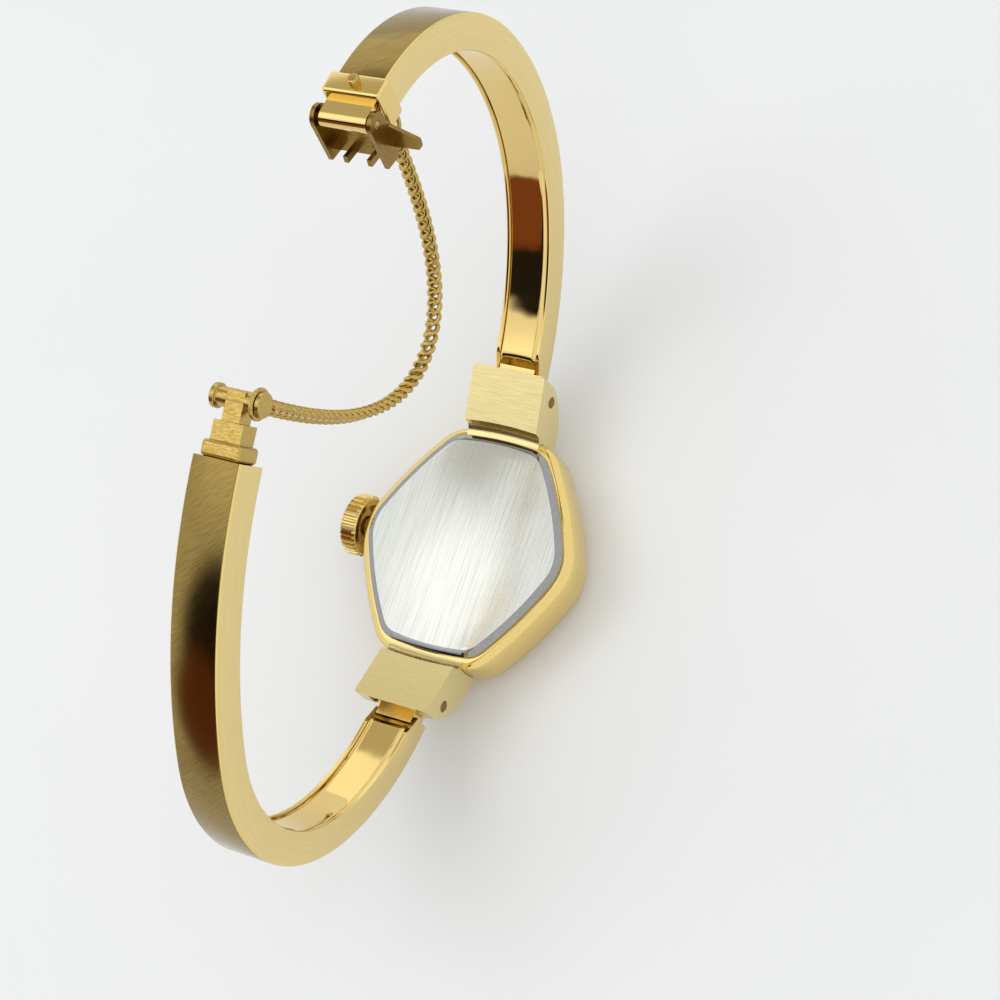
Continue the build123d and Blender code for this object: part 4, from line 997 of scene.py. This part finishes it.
    def _ring(self, stop: float, sign: int, radius: float, reach: float) -> Wires:
        """End ring round the eyelet or the bar, a circle in the plane that the chain hangs in.

        Args:
            stop: Length along the hanging line of the eyelet or the bar.
            sign: 1 where the chain goes on towards greater lengths, else -1.
            radius: Radius of the ring.
            reach: Distance of its centre from the stop, towards the chain.

        Returns:
            Points and faces of the ring.
        """
        place, _ = self._hang(np.array([stop]))
        ahead, _ = self._hang(np.array([stop + sign * radius]))
        along = (ahead - place) / np.linalg.norm(ahead - place)
        centre = np.concatenate([[[self.chain_x]], place + along * reach], -1)
        long_axis = np.concatenate([[[0.0]], along], -1)
        wide_axis = np.cross(np.array([[1.0, 0.0, 0.0]]), long_axis)
        return self._wires(centre, long_axis, wide_axis, (radius, radius), 0.0, self.ring_wire)

    def build(self) -> None:
        """Make each group of links and the two end rings."""
        for side, stops, sign, radius, reach in (
                ("upper", self.upper_stops, -1, self.rings[0], self.ring_reach[0]),
                ("lower", self.lower_stops, 1, self.rings[1], self.ring_reach[1])):
            for group in range(1, len(stops) - 1):
                name = f"{side}_chain_{group}"
                points, faces = self._links(stops[group], stops[group + 1])
                if group == 1:
                    more, ring_faces = self._ring(stops[0], sign, radius, reach)
                    faces = np.concatenate([faces, ring_faces + len(points)])
                    points = np.concatenate([points, more])
                made = make_mesh(f"{name}_links", points * MM, faces.tolist())
                stand_for(made, name, name, (WORN_AND_SHADED_GOLD,))


@dataclass
class Crown:
    """Fluted winding crown and its stem.

    Fields:
        edge: Width of the crown's softened edges, in millimetres.
    """

    edge: float = 0.04

    def build(self) -> None:
        """Soften and dress the crown."""
        finished_copy("crown", "crown", self.edge, (CROWN_GOLD,))
        for node in ("winding_stem", "crown_tube", "winding_pinions"):
            dress(node, HARD_STEEL)


@dataclass
class Movement:
    """Inner pieces of the watch, each with the finish of its metal.

    Fields:
        groups: Each finish with the nodes that have it.
    """

    groups: tuple[tuple[Finish, tuple[str, ...]], ...] = (
        (NICKEL, ("main_plate", "barrel_bridge", "train_bridge", "balance_cock", "pallet_cock",
                  "movement_ring")),
        (WHEEL_BRASS, ("barrel_drum", "centre_wheel", "third_wheel", "fourth_wheel", "hour_wheel",
                       "minute_wheel", "balance_wheel")),
        (HARD_STEEL, ("crown_wheel", "ratchet_wheel", "barrel_arbor", "cannon_pinion",
                      "escape_wheel", "pallet_fork", "bridge_screws", "click")),
        (BLUE_STEEL, ("mainspring", "hairspring")),
        (RUBY, ("jewels",)),
        (DIAL, ("dial",)),
        (POLISHED_GOLD, ("hour_markers", "hour_hand", "minute_hand")))

    def build(self) -> None:
        """Dress every inner piece."""
        for finish, nodes in self.groups:
            for node in nodes:
                dress(node, finish)


@dataclass(frozen=True)
class Patch:
    """A soft round patch of the room.

    Fields:
        direction: Where it is seen from the watch.
        low: Dot product of a ray and that direction at which the patch starts.
        high: Dot product at which it is full.
        level: Its brightness.
        colour: Its colour, as sRGB hex.
    """

    direction: tuple[float, float, float]
    low: float
    high: float
    level: float
    colour: str


@dataclass
class Studio:
    """Table, soft light and the camera at the photograph's angle.

    Fields:
        camera_mm: Place of the camera.
        camera_turn: Its rotation as a quaternion.
        lens: Its focal length, in millimetres.
        sensor: Width of its frame, in millimetres.
        clip: Nearest and furthest distance that it sees, in metres.
        table_mm: Half width of the table.
        table_cells: Cells along each side of the table's grid.
        window_mm: Place of the soft light.
        window_aim_mm: Point that it faces.
        window_size_mm: Its width.
        window_watts: Its power.
        window_colour: Its colour, as sRGB hex.
        room_level: Brightness of the room's walls and ceiling.
        room_colour: Their colour.
        seen_colour: What the camera sees directly beyond the table.
        patches: Bright, dark and warm patches of the room, each over those before it.
    """

    camera_mm: tuple[float, float, float] = (79.8725, -34.5442, 162.2146)
    camera_turn: tuple[float, float, float, float] = (0.9575007, 0.1441922, 0.2068087, 0.1401116)
    lens: float = 76.103
    sensor: float = 36.0
    clip: tuple[float, float] = (0.01, 20.0)
    table_mm: float = 3000.0
    table_cells: int = 8
    window_mm: tuple[float, float, float] = (-306.0, -68.0, 600.0)
    window_aim_mm: tuple[float, float, float] = (0.0, 0.0, 20.0)
    window_size_mm: float = 420.0
    window_watts: float = 0.62
    window_colour: str = "#fffdf8"
    room_level: float = 1.04
    room_colour: str = "#fbfbf8"
    seen_colour: str = "#fdfdfe"
    patches: tuple[Patch, ...] = (
        # Bright, high over the back
        Patch((-0.44, -0.10, 0.89), 0.900, 0.985, 1.42, "#fffefa"),
        # Bright, low on the side of 12 o'clock
        Patch((-0.47, 0.87, 0.17), 0.930, 0.985, 1.25, "#fffdf6"),
        # Dimmer, between those two
        Patch((-0.46, 0.60, 0.65), 0.955, 0.985, 0.62, "#f0ead8"),
        # Nearly black, on the side of 6 o'clock
        Patch((-0.30, -0.75, 0.45), 0.925, 0.955, 0.016, "#fff0dc"),
        # Warm brown, lower on that side
        Patch((-0.47, -0.85, 0.22), 0.966, 0.984, 0.29, "#d98050"))

    def table(self) -> None:
        """Lay a pale table top under the watch: a flat grid at height zero."""
        side = np.linspace(-self.table_mm, self.table_mm, self.table_cells + 1)
        x, y = np.meshgrid(side, side, indexing="ij")
        points = np.stack([x, y, np.zeros_like(x)], -1).reshape(-1, 3) * MM
        faces = grid_faces(len(side), len(side), False, False)[:, ::-1]
        made = make_mesh("table_top", points, faces.tolist())
        made.data.materials.append(TABLE.material())

    def camera(self) -> None:
        """Set the camera at the photograph's viewing angle."""
        lens = bpy.data.cameras.new("photo_camera")
        lens.lens = self.lens
        lens.sensor_width = self.sensor
        lens.clip_start, lens.clip_end = self.clip
        bpy.context.scene.camera = self._set_up(lens, self.camera_mm, self.camera_turn)

    def window(self) -> None:
        """Add one square soft light that faces the watch and isn't mirrored in its metal."""
        light = bpy.data.lights.new("window_light", "AREA")
        light.size = self.window_size_mm * MM
        light.energy = self.window_watts
        light.color = linear(self.window_colour)[:3]
        aim = Vector(self.window_aim_mm) - Vector(self.window_mm)
        made = self._set_up(light, self.window_mm, aim.to_track_quat("-Z", "Y"))
        made.visible_glossy = False

    @staticmethod
    def _set_up(data: bpy.types.Camera | bpy.types.Light, place_mm: tuple[float, float, float],
                turn: tuple[float, float, float, float]) -> bpy.types.Object:
        """Put a camera or a light into the scene.

        Args:
            data: The camera or light; the object gets its name.
            place_mm: Its place.
            turn: Its rotation as a quaternion.

        Returns:
            The object.
        """
        made = bpy.data.objects.new(data.name, data)
        made.location = Vector(place_mm) * MM
        made.rotation_mode = "QUATERNION"
        made.rotation_quaternion = turn
        bpy.context.scene.collection.objects.link(made)
        return made

    def surroundings(self) -> None:
        """Light the scene from a pale room with soft bright, dark and warm patches.

        The room's light depends on the direction of a ray alone. Each patch takes the place of
        what is behind it by a share that is a smooth step of the dot product of the ray and the
        patch's direction. What the camera sees directly is plain white.
        """
        world = bpy.data.worlds.new("pale_room")
        bpy.context.scene.world = world
        world.use_nodes = True
        tree = world.node_tree
        tree.nodes.clear()
        ray = add_node(tree, "ShaderNodeTexCoord").outputs["Generated"]
        light = add_node(tree, "ShaderNodeVectorMath", {"operation": "SCALE"}, {
            0: linear(self.room_colour)[:3], "Scale": self.room_level}).outputs[0]
        for patch in self.patches:
            unit = np.array(patch.direction) / np.linalg.norm(patch.direction)
            dot = add_node(tree, "ShaderNodeVectorMath", {"operation": "DOT_PRODUCT"},
                           {0: ray, 1: tuple(unit)}).outputs["Value"]
            share = add_node(tree, "ShaderNodeMapRange", {"interpolation_type": "SMOOTHSTEP"}, {
                "Value": dot, "From Min": patch.low, "From Max": patch.high}).outputs[0]
            patch_light = tuple(c * patch.level for c in linear(patch.colour)[:3])
            light = add_node(tree, "ShaderNodeMix", {"data_type": "VECTOR"}, {
                "Factor": share, 4: light, 5: patch_light}).outputs[1]
        seen = add_node(tree, "ShaderNodeBackground", inputs={
            "Color": linear(self.seen_colour), "Strength": 1.0}).outputs[0]
        room = add_node(tree, "ShaderNodeBackground", inputs={
            "Color": light, "Strength": 1.0}).outputs[0]
        direct = add_node(tree, "ShaderNodeLightPath").outputs["Is Camera Ray"]
        mixed = add_node(tree, "ShaderNodeMixShader", inputs={
            "Fac": direct, 1: room, 2: seen}).outputs[0]
        add_node(tree, "ShaderNodeOutputWorld", inputs={"Surface": mixed})

    def build(self) -> None:
        """Set the table, the room, the light and the camera."""
        bpy.context.scene.view_settings.view_transform = "Standard"
        self.table()
        self.surroundings()
        self.window()
        self.camera()


# Middle lines of the arms at 12 and at 6 o'clock
UPPER_PATH = ArmPath(1, 13.7, (27.6, 21.0, 15.05), (17.7, 16.7, 18.3))
LOWER_PATH = ArmPath(-1, 5.6, (18.2, 14.5, 40.3), (14.0, 20.7, 22.8))


def main() -> None:
    """Build every sub-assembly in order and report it."""
    logging.basicConfig(level=logging.INFO, format="%(message)s")
    for part in (WatchCase(), HingeBlocks(), BangleArm("upper", UPPER_PATH, roll_sides=(1,)),
                 BangleArm("lower", LOWER_PATH), Clasp(), SafetyChain(), Crown(), Movement(),
                 Studio()):
        part.build()
        log.info("made %s", type(part).__name__)


if __name__ == "__main__":
    main()
